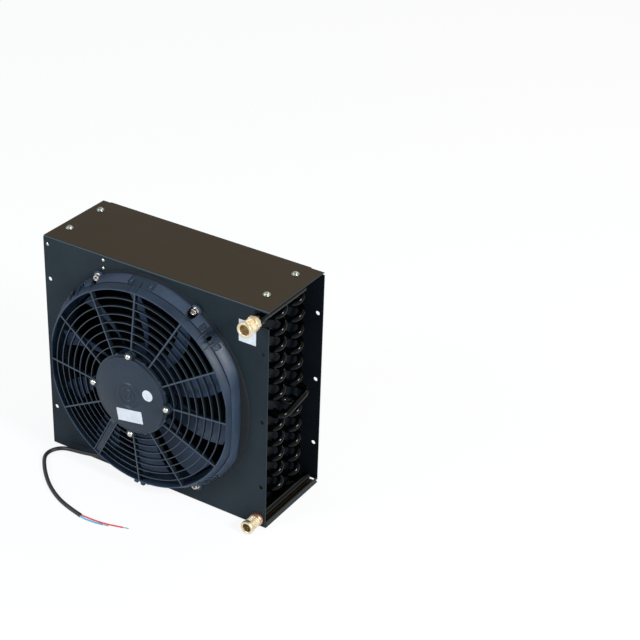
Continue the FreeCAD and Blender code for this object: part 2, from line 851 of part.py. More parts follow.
def motor_magnets():
    outer = CAN - CAN_WALL
    bottom = CORE_BOTTOM - MAGNET_LAP
    top = CORE_TOP + MAGNET_LAP
    profile = [(outer - MAGNET, bottom), (outer, bottom), (outer, top), (outer - MAGNET, top)]
    half = MAGNET_STEPS // 2
    arcs = [turned(profile, MOTOR_SIDES, side - half, MAGNET_STEPS) for side in (0, MOTOR_SIDES // 2)]
    return fan_place(group(arcs))


def core_radius():
    return CAN - CAN_WALL - MAGNET - AIR_GAP


def snug(sides):
    """Corners of a bore whose flats lie on the shaft."""
    return corner_radius(2 * SHAFT, sides)


def armature_core():
    core = ring(snug(MOTOR_SIDES), core_radius(), CORE_BOTTOM, CORE_TOP, MOTOR_SIDES)
    cuts = []
    for index in range(CORE_SLOTS):
        slot = box(core_radius() - SLOT_DEPTH, core_radius() + OVER, -SLOT_WIDTH / 2, SLOT_WIDTH / 2,
                   CORE_BOTTOM - OVER, CORE_TOP + OVER)
        cuts.append(around(slot, 360.0 / CORE_SLOTS * index))
    return fan_place(core.cut(cuts))


def armature_windings():
    rear = ring(WINDING_IN, WINDING_OUT, CORE_BOTTOM - WINDING, CORE_BOTTOM, SMALL_SIDES)
    front = ring(WINDING_IN, WINDING_OUT, CORE_TOP, CORE_TOP + WINDING, SMALL_SIDES)
    return fan_place(group([rear, front]))


def commutator_bottom():
    return CORE_TOP + WINDING + COMMUTATOR_PLAY


def commutator():
    bottom = commutator_bottom()
    return fan_place(ring(snug(SHAFT_SIDES), COMMUTATOR, bottom, bottom + COMMUTATOR_LENGTH, SHAFT_SIDES))


def brush_level():
    return commutator_bottom() + (COMMUTATOR_LENGTH - BRUSH) / 2


def carbon_brushes():
    start = COMMUTATOR + BRUSH_GAP
    brush = box(start, start + BRUSH_LENGTH, -BRUSH / 2, BRUSH / 2, brush_level(), brush_level() + BRUSH)
    return fan_place(group([around(brush, 45 + 90 * index) for index in range(4)]))


def brush_card():
    bottom = brush_level() + BRUSH
    return fan_place(ring(CARD_IN, CAN - CAN_WALL, bottom, bottom + CARD, MOTOR_SIDES))


def sleeve(bottom, length):
    """A plain bearing, round inside and out."""
    axis = vec(0, 0, 1)
    bore = disc(SHAFT + RUNNING_FIT, vec(0, 0, bottom), axis, length)
    return fan_place(disc(BUSH, vec(0, 0, bottom), axis, length).cut(bore))


def front_bearing():
    return sleeve(CAP_TOP - CAP_SHEET - BEARING_LENGTH, BEARING_LENGTH)


def rear_bearing():
    return sleeve(CAN_TAIL, BUSH_LENGTH)


def motor_shaft():
    start = HUB_BACK - NUT_HEIGHT - SHAFT_TAIL
    end = CAP_TOP - CAP_SHEET - SHAFT_END_PLAY
    return fan_place(disc(SHAFT, vec(0, 0, start), vec(0, 0, 1), end - start))


# Impeller: a cup over the motor with swept, cambered blades.

def blade_section(radius, sweep):
    """Corners of a thin cambered section square to the radius, high at its leading side."""
    half_width = radius * math.tan(math.radians(BLADE_SPAN / 2))
    low = []
    high = []
    for step in range(BLADE_STEPS + 1):
        share = step / BLADE_STEPS
        width = half_width * (2 * share - 1)
        height = BLADE_FRONT + (BLADE_REAR - BLADE_FRONT) * share - 4 * BLADE_CAMBER * share * (1 - share)
        wall = BLADE_EDGE + 4 * (BLADE_WALL - BLADE_EDGE) * share * (1 - share)
        low.append(vec(radius, width, height - wall / 2))
        high.append(vec(radius, width, height + wall / 2))
    turn = FreeCAD.Rotation(vec(0, 0, 1), sweep)
    return [turn.multVec(corner) for corner in low + high[::-1]]


def blade():
    """A plate of flat facets from the hub's wall to the tip circle. Its two sides are split into
    triangles along the same diagonals, so that they keep their distance."""
    root = HUB - HUB_WALL + BLADE_ROOT_LAP
    outer = BLADE_TIP + BLADE_TRIM
    sections = []
    for step in range(BLADE_STATIONS):
        share = step / (BLADE_STATIONS - 1)
        radius = root + (outer - root) * share
        sections.append(blade_section(radius, BLADE_SWEEP * (share * share - 1)))
    faces = []
    for first, second in zip(sections, sections[1:]):
        for index in range(len(first)):
            following = (index + 1) % len(first)
            if index < BLADE_STEPS:
                faces.append(polygon([first[index], first[following], second[following]]))
                faces.append(polygon([first[index], second[following], second[index]]))
            else:
                faces.append(polygon([first[index], first[following], second[index]]))
                faces.append(polygon([first[following], second[following], second[index]]))
    for section in (sections[0], sections[-1]):
        for step in range(BLADE_STEPS):
            near = len(section) - 1 - step
            faces.append(polygon([section[step], section[step + 1], section[near - 1]]))
            faces.append(polygon([section[step], section[near - 1], section[near]]))
    plate = solid_from(faces)
    depth = BLADE_FRONT - BLADE_REAR
    return plate.common(prism(BLADE_TIP, ROUND_SIDES, vec(0, 0, BLADE_REAR - depth), vec(0, 0, 1), 3 * depth))


def impeller():
    bore = snug(HUB_SIDES)
    profile = [(bore, HUB_BACK), (HUB, HUB_BACK), (HUB, HUB_FRONT), (HUB - HUB_WALL, HUB_FRONT),
               (HUB - HUB_WALL, HUB_BACK + HUB_FLOOR), (HUB_BOSS, HUB_BACK + HUB_FLOOR),
               (HUB_BOSS, HUB_BOSS_TOP), (bore, HUB_BOSS_TOP)]
    one = blade()
    pieces = [turned(profile, HUB_SIDES)]
    for index in range(BLADES):
        pieces.append(around(one, BLADE_PHASE + 360.0 / BLADES * index))
    return fan_place(fuse(pieces))


def impeller_nut():
    bottom = HUB_BACK - NUT_HEIGHT
    body = prism(corner_radius(NUT, 6), 6, vec(0, 0, bottom), vec(0, 0, 1), NUT_HEIGHT)
    bore = ring(0, snug(SHAFT_SIDES), bottom, HUB_BACK, SHAFT_SIDES)
    return fan_place(body.cut(bore))


# Grille: a welded wire mesh under a flat frame, screwed to the rear flanges.

def head(radius, x, y, z, height):
    """A screw or rivet head that stands on the plane at y; a height below zero stands forward."""
    return prism(radius, SCREW_SIDES, vec(x, y, z), vec(0, math.copysign(1, height), 0), abs(height))


def wire_mesh():
    """The uprights lie on the flanges and the crosses on the uprights."""
    wires = []
    corner = corner_radius(2 * WIRE, WIRE_SIDES)
    for index in range(UPRIGHTS):
        x = MESH_CENTRE + MESH_PITCH * (index - (UPRIGHTS - 1) / 2)
        start = vec(x, REAR + WIRE, MESH_END)
        wires.append(prism(corner, WIRE_SIDES, start, vec(0, 0, 1), HEIGHT - 2 * MESH_END))
    left = FRAME_LEFT + WIRE_SHORT
    for index in range(CROSSES):
        z = FAN_Z + MESH_PITCH * (index - (CROSSES - 1) / 2)
        start = vec(left, REAR + 3 * WIRE, z)
        wires.append(prism(corner, WIRE_SIDES, start, vec(1, 0, 0), FRAME_RIGHT - WIRE_SHORT - left))
    return group(wires)


def frame_y():
    return REAR + 4 * WIRE


def grille_frame():
    y0 = frame_y()
    y1 = y0 + FRAME_SHEET
    sheet = box(FRAME_LEFT, FRAME_RIGHT, y0, y1, FRAME_MARGIN, HEIGHT - FRAME_MARGIN)
    window = box(FRAME_LEFT + FRAME_SIDE, FRAME_RIGHT - FRAME_SIDE, y0 - OVER, y1 + OVER,
                 FRAME_MARGIN + FRAME_TOP, HEIGHT - FRAME_MARGIN - FRAME_TOP)
    return sheet.cut(window)


def frame_screws():
    places = []
    for x in (FRAME_LEFT + FRAME_SIDE / 2, FRAME_RIGHT - FRAME_SIDE / 2):
        for share in (-1.5, -0.5, 0.5, 1.5):
            places.append((x, FAN_Z + share * MOUNT_RISE))
    for share in (-0.5, 0.5):
        for z in (FRAME_MARGIN + FRAME_TOP / 2, HEIGHT - FRAME_MARGIN - FRAME_TOP / 2):
            places.append((MESH_CENTRE + share * MOUNT_RISE, z))
    return group([head(SCREW_HEAD, x, frame_y() + FRAME_SHEET, z, SCREW_HEIGHT) for x, z in places])


# Small fasteners: heads on their seats, with the shanks and threads left out.

def casing_bolts(z):
    bolts = []
    for x in (RIGHT_PLATE + RIGHT_FLANGE / 2, LEFT_PLATE - LEFT_FLANGE / 2):
        for y in (FRONT + BOLT_NEAR, FRONT + BOLT_FAR):
            profile = [(0, 0), (BOLT_FLANGE, 0), (BOLT_FLANGE, BOLT_SHEET), (BOLT_HEAD, BOLT_SHEET),
                       (BOLT_CROWN, BOLT_HEIGHT), (0, BOLT_HEIGHT)]
            bolt = turned(profile, SCREW_SIDES)
            bolt.translate(vec(x, y, z))
            bolts.append(bolt)
    return group(bolts)


def top_bolts():
    return casing_bolts(HEIGHT)


def bottom_bolts():
    """Heads inside the casing, on the end plates' flanges, so that the bottom stays flush."""
    return casing_bolts(2 * SHEET)


def fan_screws():
    screws = []
    for angle in lug_angles():
        profile = [(0, 0), (LUG_WASHER, 0), (LUG_WASHER, BOLT_SHEET), (LUG_SCREW, BOLT_SHEET),
                   (LUG_SCREW, LUG_SCREW_HEIGHT), (0, LUG_SCREW_HEIGHT)]
        screw = turned(profile, SCREW_SIDES)
        screw.translate(polar(LUG_CIRCLE, angle, LUG_TOP))
        screws.append(screw)
    return fan_place(group(screws))


def fan_rivnuts():
    nuts = []
    for angle in lug_angles():
        seat = polar(LUG_CIRCLE, angle, -SHEET - RIVNUT_LENGTH)
        nuts.append(prism(RIVNUT, SCREW_SIDES, seat, vec(0, 0, 1), RIVNUT_LENGTH))
    return fan_place(group(nuts))


def cap_screws():
    crown = CAP_TOP + CAP_SCREW_HEIGHT
    dome = [(0, CAP_TOP), (CAP_SCREW, CAP_TOP), (CAP_SCREW - CAP_EDGE, crown), (0, crown)]
    screw = turned(dome, SCREW_SIDES)
    screws = []
    for index in range(4):
        copy = screw.copy()
        copy.translate(polar(EAR_CIRCLE, 90 * index))
        screws.append(copy)
    return fan_place(group(screws))


def panel_rivets():
    """Two rivets over the fan, the lower one just clear of the gasket, and one in the corner."""
    over_fan = FAN_X - RIVET_SIDE
    clear = FAN_Z + math.sqrt((GASKET_OUT + RIVET_GAP) ** 2 - RIVET_SIDE ** 2)
    places = [(over_fan, HEIGHT - RIVET_DROP), (over_fan, clear)]
    places.append((CORNER_SIDE - WIDTH / 2, HEIGHT - CORNER_DROP))
    return group([head(RIVET, x, FRONT, z, -RIVET_HEIGHT) for x, z in places])


def fitting_tag():
    x1 = inlet_axis().x - TAG_SIDE
    z1 = inlet_axis().z - TAG_DROP
    return box(x1 - TAG_WIDTH, x1, FRONT - STICKER, FRONT, z1 - TAG_HEIGHT, z1)


def motor_label():
    label = box(-LABEL_WIDTH / 2, LABEL_WIDTH / 2, -LABEL_HEIGHT / 2, LABEL_HEIGHT / 2,
                CAP_TOP, CAP_TOP + STICKER)
    label.rotate(vec(0, 0, 0), vec(0, 0, 1), LABEL_TILT)
    label.translate(vec(LABEL_X, LABEL_Y, 0))
    return fan_place(label)


def cap_sticker():
    return fan_place(prism(SPOT, FITTING_SIDES, vec(SPOT_X, SPOT_Y, CAP_TOP), vec(0, 0, 1), STICKER))


# Cable: the route is chosen point by point, down past the corner and round on the floor.

# To the right of the exit, forward of the front panel, and the share that is left of the exit's height
CABLE_RUN = [(0.0, 10.0, 1.0), (-20.1, 9.4, 0.66), (-38.1, 8.8, 0.42), (-51.6, 8.4, 0.27),
             (-61.4, 9.4, 0.185), (-69.9, 13.4, 0.12), (-75.8, 20.6, 0.064), (-78.0, 29.8, 0.028),
             (-75.7, 39.6, 0.007), (-66.6, 52.0, 0.0), (-49.1, 70.5, 0.0), (-24.6, 91.0, 0.0),
             (3.4, 107.5, 0.0), (30.9, 117.4, 0.0), (58.6, 123.0, 0.0)]

# From the end of the sheath: to the right, to the rear, and the height above the wire's own rest
BLUE_RUN = [(-0.3, -1.4, 1.9), (7.8, -2.2, 1.0), (16.3, -0.8, 0.4), (26.3, 0.4, 0.0), (36.4, 2.8, 0.0)]
RED_RUN = [(0.2, 1.4, 1.9), (8.5, 2.4, 1.1), (19.3, 3.4, 0.4), (32.3, 5.2, 0.0), (47.6, 8.4, 0.0),
           (63.0, 13.2, 0.0)]


def cable_route():
    centre = polar(SKIRT + EXIT_GAP, EXIT_ANGLE)
    rest = CABLE + FLOOR_PLAY
    drop = FAN_Z + centre.y - rest
    start = FAN_X + centre.x
    return [vec(start + x, FRONT - forward, rest + drop * share) for x, forward, share in CABLE_RUN]


def wire_route(run):
    end = cable_route()[-1]
    rest = CORE_WIRE + FLOOR_PLAY
    return [vec(end.x + x, end.y + y, rest + rise) for x, y, rise in run]


def cable_piece(name, points, radius):
    solid, section, radii, length = pipe(points, radius)
    share = solid.Volume / (section * length)
    print(name, "radii", radii, "length", round(length, 1), "volume share", round(share, 4))
    return solid


def fan_cable():
    return cable_piece("fan_cable", cable_route(), CABLE)


def square_start(solid):
    """Trims a wire's first end to the flat end of the sheath."""
    before, end = cable_route()[-2:]
    along = (end - before).normalize()
    return solid.cut(prism(2 * CABLE, CABLE_SIDES, end - along * CABLE, along, CABLE))


def blue_wire():
    return square_start(cable_piece("blue_wire", wire_route(BLUE_RUN), CORE_WIRE))


def red_wire():
    return square_start(cable_piece("red_wire", wire_route(RED_RUN), CORE_WIRE))


def wire_tips():
    tips = []
    for run in (BLUE_RUN, RED_RUN):
        before, end = wire_route(run)[-2:]
        along = (end - before).normalize()
        tips.append(prism(BARE_TIP, CABLE_SIDES, end, along, TIP_LENGTH))
    return group(tips)


def cable_gland():
    """A tapered sleeve on the skirt of the fan, where the cable comes out."""
    start, following = cable_route()[:2]
    along = (start - following).normalize()
    cone = turned([(0, 0), (GLAND_TIP, 0), (GLAND, GLAND_LENGTH), (0, GLAND_LENGTH)], SMALL_SIDES)
    cone.Placement = FreeCAD.Placement(start, FreeCAD.Rotation(vec(0, 0, 1), along))
    inside = [(DUCT, 0), (SKIRT, 0), (SKIRT, GASKET + SKIRT_EDGE), (SHOULDER_RADIUS, SHOULDER_HEIGHT),
              (STEP_RADIUS, STEP_HEIGHT), (DUCT, STEP_HEIGHT)]
    return cone.cut([fan_place(turned(inside, ROUND_SIDES)), fan_housing()])


BUILDERS = {
    "shroud": shroud,
    "end_plate_left": end_plate_left,
    "end_plate_right": end_plate_right,
    "fin_pack": fin_pack,
    "hairpins_front": lambda: hairpins(1),
    "hairpins_rear": lambda: hairpins(3),
    "return_bends_front": lambda: return_bends(1),
    "return_bends_rear": lambda: return_bends(3),
    "crossover_tubes": crossover_tubes,
    "inlet_header": inlet_header,
    "outlet_header": outlet_header,
    "inlet_fitting": inlet_fitting,
    "outlet_fitting": outlet_fitting,
    "outlet_collar": outlet_collar,
    "fan_housing": fan_housing,
    "fan_gasket": fan_gasket,
    "motor_cap": motor_cap,
    "motor_can": motor_can,
    "motor_magnets": motor_magnets,
    "armature_core": armature_core,
    "armature_windings": armature_windings,
    "commutator": commutator,
    "carbon_brushes": carbon_brushes,
    "brush_card": brush_card,
    "front_bearing": front_bearing,
    "rear_bearing": rear_bearing,
    "motor_shaft": motor_shaft,
    "impeller": impeller,
    "impeller_nut": impeller_nut,
    "wire_mesh": wire_mesh,
    "grille_frame": grille_frame,
    "frame_screws": frame_screws,
    "top_bolts": top_bolts,
    "bottom_bolts": bottom_bolts,
    "fan_screws": fan_screws,
    "fan_rivnuts": fan_rivnuts,
    "cap_screws": cap_screws,
    "panel_rivets": panel_rivets,
    "fitting_tag": fitting_tag,
    "motor_label": motor_label,
    "cap_sticker": cap_sticker,
    "cable_gland": cable_gland,
    "fan_cable": fan_cable,
    "blue_wire": blue_wire,
    "red_wire": red_wire,
    "wire_tips": wire_tips,
}

os.makedirs("parts", exist_ok=True)
for name, builder in BUILDERS.items():
    shape = builder()
    print(name, "solids", len(shape.Solids), "valid", shape.isValid())
    shape.exportStep("parts/%s.step" % name)
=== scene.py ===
import math

import bmesh
import bpy
from mathutils import Matrix, Vector


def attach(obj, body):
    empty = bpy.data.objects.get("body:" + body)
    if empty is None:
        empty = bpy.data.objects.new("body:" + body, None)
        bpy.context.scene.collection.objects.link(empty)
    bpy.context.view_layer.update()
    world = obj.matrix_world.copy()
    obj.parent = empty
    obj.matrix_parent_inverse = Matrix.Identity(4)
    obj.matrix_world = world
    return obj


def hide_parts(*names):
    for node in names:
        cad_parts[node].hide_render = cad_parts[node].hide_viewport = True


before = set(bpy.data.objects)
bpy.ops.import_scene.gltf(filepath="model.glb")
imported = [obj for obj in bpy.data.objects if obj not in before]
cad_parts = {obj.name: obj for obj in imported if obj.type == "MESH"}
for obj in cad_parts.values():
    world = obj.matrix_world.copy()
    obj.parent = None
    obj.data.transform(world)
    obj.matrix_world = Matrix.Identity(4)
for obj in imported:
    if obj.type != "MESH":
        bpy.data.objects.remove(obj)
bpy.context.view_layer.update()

# Camera: a long catalogue lens to the right of the unit and above it, so that the fan side,
# the top and the coil's right end all show. Angles are in degrees, the lens in millimetres.
CAMERA_PLACE = (1.2478, -1.6961, 1.4568)
CAMERA_ANGLES = (31.132, 29.973, 2.047)
SENSOR_WIDTH = 36
FOCAL_LENGTH = 97.86
azimuth, elevation, roll = (math.radians(angle) for angle in CAMERA_ANGLES)
back = Vector((math.sin(azimuth) * math.cos(elevation), -math.cos(azimuth) * math.cos(elevation),
               math.sin(elevation)))
level = Vector((math.cos(azimuth), math.sin(azimuth), 0))
above = back.cross(level)
across = level * math.cos(roll) + above * math.sin(roll)
upward = above * math.cos(roll) - level * math.sin(roll)
lens = bpy.data.cameras.new("camera")
lens.sensor_width = SENSOR_WIDTH
lens.lens = FOCAL_LENGTH
lens.clip_end = 30
camera = bpy.data.objects.new("camera", lens)
bpy.context.scene.collection.objects.link(camera)
turned = Matrix((across, upward, back)).transposed().to_4x4()
camera.matrix_world = Matrix.Translation(CAMERA_PLACE) @ turned
bpy.context.scene.camera = camera

# Shroud and grille frame: folded steel sheet in powder coat, a cold near black, satin, with the
# shallow orange peel that the cured powder leaves. The faces that look up are painted a tan tone, which
# stands for dust and for the warm light they catch, and the front folds carry a painted pale highlight.
MM = 0.001
PATCH_STARTS, PATCH_ENDS = 0.3, 0.7
CASING_TOP = 345.0
MIDDLE_HEIGHT = CASING_TOP / 2
FRONT_FACE = -68.0
UP = (0, 0, 1)
FRONT_FOLD = (0, -0.707, 0.707)


def linear(code):
    """An sRGB hex colour as the linear colour that a shader takes."""
    parts = [int(code[start:start + 2], 16) / 255 for start in (1, 3, 5)]
    return tuple(p / 12.92 if p <= 0.04045 else ((p + 0.055) / 1.055) ** 2.4 for p in parts) + (1.0,)


def add(tree, kind, inputs=(), **settings):
    """Adds a node with its settings. inputs gives each socket a value, or another node's output."""
    node = tree.nodes.new("ShaderNode" + kind)
    for name, value in settings.items():
        setattr(node, name, value)
    for socket, value in dict(inputs).items():
        if isinstance(value, bpy.types.NodeSocket):
            tree.links.new(value, node.inputs[socket])
        else:
            node.inputs[socket].default_value = value
    return node


def finish(name, dark, light, patch, roughness, grain, depth, metallic=0.0, specular=0.5):
    """A material whose colour drifts between two tones over patches, with a fine grain.
    patch, grain and depth are millimetres; roughness is its lowest and highest value.
    A real grain that is too fine to show is drawn as coarse as it needs to show."""
    material = bpy.data.materials.new(name)
    material.use_nodes = True
    tree = material.node_tree
    tree.nodes.clear()
    place = add(tree, "TexCoord").outputs["Object"]
    drift = add(tree, "TexNoise", {"Vector": place, "Scale": 1 / (patch * MM), "Detail": 4.0})
    fine = add(tree, "TexNoise", {"Vector": place, "Scale": 1 / (grain * MM), "Detail": 2.0})
    tone = add(tree, "MapRange", {"Value": drift.outputs[0], "From Min": PATCH_STARTS,
                                  "From Max": PATCH_ENDS})
    colour = add(tree, "Mix", {0: tone.outputs[0], 6: linear(dark), 7: linear(light)}, data_type="RGBA")
    gloss = add(tree, "MapRange", {"Value": drift.outputs[0], "From Min": PATCH_STARTS,
                                   "From Max": PATCH_ENDS, "To Min": roughness[0],
                                   "To Max": roughness[1]})
    bump = add(tree, "Bump", {"Height": fine.outputs[0], "Distance": depth * MM})
    shader = add(tree, "BsdfPrincipled", {"Base Color": colour.outputs[2], "Roughness": gloss.outputs[0],
                                          "Metallic": metallic, "Normal": bump.outputs[0],
                                          "Specular IOR Level": specular})
    add(tree, "OutputMaterial", {"Surface": shader.outputs[0]})
    return material


def paint_light_facing(material, way, code, first, full):
    """Paints a colour on the faces that look one way, as painted light; on the faces that look up it also
    stands for dust.
    first and full are the cosines at which the change starts and ends."""
    tree = material.node_tree
    shader = next(node for node in tree.nodes if node.type == "BSDF_PRINCIPLED")
    normal = add(tree, "NewGeometry").outputs["Normal"]
    along = add(tree, "VectorMath", {0: normal, 1: way}, operation="DOT_PRODUCT")
    amount = add(tree, "MapRange", {"Value": along.outputs["Value"], "From Min": first, "From Max": full})
    under = shader.inputs["Base Color"].links[0].from_socket
    mixed = add(tree, "Mix", {0: amount.outputs[0], 6: under, 7: linear(code)}, data_type="RGBA")
    tree.links.new(mixed.outputs[2], shader.inputs["Base Color"])


def coat(material, *names):
    """Gives CAD nodes, which keep their own shape, a material."""
    for name in names:
        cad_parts[name].data.materials.clear()
        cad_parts[name].data.materials.append(material)


powder_coat = finish("black_powder_coat", "#1b2429", "#263034", 90, (0.38, 0.48), 1.6, 0.05,
                     specular=0.08)
# Painted: a tan tone on the faces that look up, for dust and for the warm light they catch.
paint_light_facing(powder_coat, UP, "#312a1f", 0.6, 0.95)
# Painted highlight: a pale line along the front folds.
paint_light_facing(powder_coat, FRONT_FOLD, "#46515a", 0.97, 1.0)
coat(powder_coat, "shroud", "grille_frame")

# End plates: steel sheet with flanges, which holds the coil's tubes. They are painted blacker than the
# shroud, as shade painted on the coil's ends, and carry no tan tone.
# A darker copy of the shroud's black: painted shade.
shade_dark_steel = finish("shade_black_steel", "#0e1317", "#13191e", 60, (0.42, 0.52), 1.4, 0.04,
                      specular=0.06)
coat(shade_dark_steel, "end_plate_left", "end_plate_right")

# Coil fins and tubes: thin aluminium sheets, pressed on the straight copper tubes and dipped black
# with them. The dip is thin and matt, and drifts between black and a very dark grey.
ROWS = (-17.0, 5.0, 27.0, 49.0)
ROWS_MIDDLE = sum(ROWS) / len(ROWS)
LEVELS = 13
LEVEL_PITCH = 25.4
COIL_FOOT = 7.4
HIGH_ROW, LOW_ROW = 0.75, 0.25
LEFT_FACE, RIGHT_FACE = -163.5, 150.5
FIN_COUNT = 154
FIN_PITCH = 2.0
FIN_SIZE = (0.3, 87.6, 330.0)
FIN_START = 4.0
COATED_TUBE = 4.9
TUBE_INSET = 1.0
STEP_ANGLE = 12
HAIR = 0.001


def piece(name, form, body, material, nodes=(), place=Matrix(), crisp=35):
    """Closes a bmesh drawn in millimetres, puts it in its place and hangs it on a body."""
    bmesh.ops.remove_doubles(form, verts=form.verts, dist=HAIR)
    bmesh.ops.recalc_face_normals(form, faces=form.faces)
    bmesh.ops.transform(form, matrix=Matrix.Scale(MM, 4) @ place, verts=form.verts)
    mesh = bpy.data.meshes.new(name)
    form.to_mesh(mesh)
    form.free()
    mesh.shade_smooth()
    mesh.set_sharp_from_angle(angle=math.radians(crisp))
    mesh.materials.append(material)
    made = bpy.data.objects.new(name, mesh)
    bpy.context.scene.collection.objects.link(made)
    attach(made, body)
    if nodes:
        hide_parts(*nodes)
    return made


def edge_ring(verts):
    """The edges that join these vertices."""
    inside = set(verts)
    return [edge for edge in {e for v in verts for e in v.link_edges}
            if edge.verts[0] in inside and edge.verts[1] in inside]


def bent_tube(form, points, radius, bend, sides):
    """Sweeps a circle along straight runs, which it extrudes, and bends, which it spins."""
    points = [Vector(point) for point in points]
    way = (points[1] - points[0]).normalized()
    facing = Matrix.Translation(points[0]) @ way.to_track_quat("Z", "Y").to_matrix().to_4x4()
    circle = bmesh.ops.create_circle(form, radius=radius, segments=sides, matrix=facing)["verts"]
    here = points[0]
    for corner, after in zip(points[1:], points[2:] + [None]):
        out = way if after is None else (after - corner).normalized()
        turn = way.angle(out)
        cut = bend * math.tan(turn / 2)
        run = corner - way * cut - here
        if run.length > HAIR:
            grown = bmesh.ops.extrude_edge_only(form, edges=edge_ring(circle))["geom"]
            circle = [item for item in grown if isinstance(item, bmesh.types.BMVert)]
            bmesh.ops.translate(form, vec=run, verts=circle)
        if turn > HAIR:
            inward = (out - way * math.cos(turn)).normalized()
            centre = corner - way * cut + inward * bend
            steps = max(3, round(math.degrees(turn) / STEP_ANGLE))
            spun = bmesh.ops.spin(form, geom=circle + edge_ring(circle), cent=centre,
                                  axis=way.cross(out), angle=turn, steps=steps)["geom_last"]
            circle = [item for item in spun if isinstance(item, bmesh.types.BMVert)]
        here = corner + out * cut
        way = out
    bmesh.ops.holes_fill(form, edges=[edge for edge in form.edges if edge.is_boundary], sides=0)


def tube_height(row, level):
    """Height of a tube's axis. The rows are staggered by half a pitch."""
    return COIL_FOOT + LEVEL_PITCH * (level + (HIGH_ROW if row in (0, 2) else LOW_ROW))


dipped_aluminium = finish("black_dipped_aluminium", "#08090a", "#101214", 25, (0.5, 0.62), 1.0, 0.03,
                          specular=0.2)
fins = bmesh.new()
for count in range(FIN_COUNT):
    place = Matrix.Translation((LEFT_FACE + FIN_START + FIN_PITCH * count, ROWS_MIDDLE, MIDDLE_HEIGHT))
    bmesh.ops.create_cube(fins, size=1, matrix=place @ Matrix.Diagonal((*FIN_SIZE, 1)))
piece("fin_sheets", fins, "casing", dipped_aluminium, ["fin_pack"])
tubes = bmesh.new()
for row, depth in enumerate(ROWS):
    for count in range(LEVELS):
        height = tube_height(row, count)
        ends = [(LEFT_FACE + TUBE_INSET, depth, height), (RIGHT_FACE - TUBE_INSET, depth, height)]
        bent_tube(tubes, ends, COATED_TUBE, 0, 10)
piece("fin_tubes", tubes, "casing", dipped_aluminium)

# Tube ends: copper U bends brazed into the belled ends of the coil's tubes, sprayed gloss black
# with the coil, so that each one carries a bright glint. Two crossovers join the circuits.
TUBE_RADIUS = 4.76
TUBE_SIDES = 16
BEND_LEG = 6.5
SOCKET = 0.5
BELL_RADIUS = 5.7
BELL_LENGTH = 4.5
SPLIT_LEVEL = 5
LONG_REACH = 29.7
LONG_BEND = 14.0
RIGHT, LEFT = 1, -1


def u_tube(form, side, first, second, belled=True, reach=None, bend=None):
    """Leads a tube out of an end plate and back in. first and second are (row, level)."""
    face = RIGHT_FACE if side == RIGHT else LEFT_FACE
    ends = [(ROWS[row], tube_height(row, level)) for row, level in (first, second)]
    half = math.dist(*ends) / 2
    start = face - side * SOCKET
    far = face + side * (reach or BEND_LEG + half)
    bent_tube(form, [(start, *ends[0]), (far, *ends[0]), (far, *ends[1]), (start, *ends[1])],
              TUBE_RADIUS, bend or half - HAIR, TUBE_SIDES)
    for depth, height in ends if belled else ():
        bent_tube(form, [(start, depth, height), (face + side * BELL_LENGTH, depth, height)],
                  BELL_RADIUS, 0, TUBE_SIDES)


sprayed_copper = finish("gloss_black_sprayed_copper", "#010202", "#040506", 20, (0.1, 0.14), 2.0, 0.01,
                        specular=0.14)
between = [level for level in range(LEVELS - 1) if level != SPLIT_LEVEL]
rear_pairs = [((2, level), (3, level)) for level in range(LEVELS - 2)]
rear_pairs += [((row, LEVELS - 2), (row, LEVELS - 1)) for row in (2, 3)]
for node, side, pairs in (
        ("return_bends_front", RIGHT, [((0, level), (1, level + 1)) for level in between]),
        ("return_bends_rear", RIGHT, [((2, level), (3, level + 1)) for level in between]),
        ("hairpins_front", LEFT, [((0, level), (1, level)) for level in range(LEVELS)]),
        ("hairpins_rear", LEFT, rear_pairs)):
    bends = bmesh.new()
    for first, second in pairs:
        u_tube(bends, side, first, second)
    piece(node + "_bends", bends, "casing", sprayed_copper, [node])
crossing = bmesh.new()
u_tube(crossing, RIGHT, (2, SPLIT_LEVEL), (1, SPLIT_LEVEL + 1), False)
u_tube(crossing, RIGHT, (3, SPLIT_LEVEL + 1), (0, SPLIT_LEVEL), False, LONG_REACH, LONG_BEND)
piece("crossover_bends", crossing, "casing", sprayed_copper, ["crossover_tubes"])

# Headers: two copper pipes along the depth, with a stub to each circuit, brazed and sprayed with
# the coil. The inlet's is at the top and the outlet's at the foot.
INLET_X, INLET_Z = 173.0, 330.5
OUTLET_X, OUTLET_Z = 175.0, 13.0
HEADER_RADIUS = 6.35
HEADER_TAIL = 7.9
for name, x, z, rows, level, node in (
        ("inlet_pipe", INLET_X, INLET_Z, (0, 2), LEVELS - 1, "inlet_header"),
        ("outlet_pipe", OUTLET_X, OUTLET_Z, (1, 3), 0, "outlet_header")):
    pipe = bmesh.new()
    bent_tube(pipe, [(x, FRONT_FACE, z), (x, ROWS[rows[-1]] + HEADER_TAIL, z)], HEADER_RADIUS, 0, 24)
    for row in rows:
        coil_end = (RIGHT_FACE - SOCKET, ROWS[row], tube_height(row, level))
        bent_tube(pipe, [coil_end, (x, ROWS[row], z)], TUBE_RADIUS, 0, TUBE_SIDES)
    piece(name, pipe, "casing", sprayed_copper, [node])

# Refrigerant fittings: turned brass, pale gold with fine rings, brazed on the headers. The inlet
# has a hexagon, a rolled mouth and a sprayed neck. The outlet has a collar of bare copper, which
# is pale pink and a little dulled by the flame.
THREAD_PITCH = 1.5
HEX_CORNER = 11.2
HEX_LENGTH = 7.0
HEX_MIDDLE = 14.5
HEX_TURN = 30
HEX_CHAMFER = 0.7


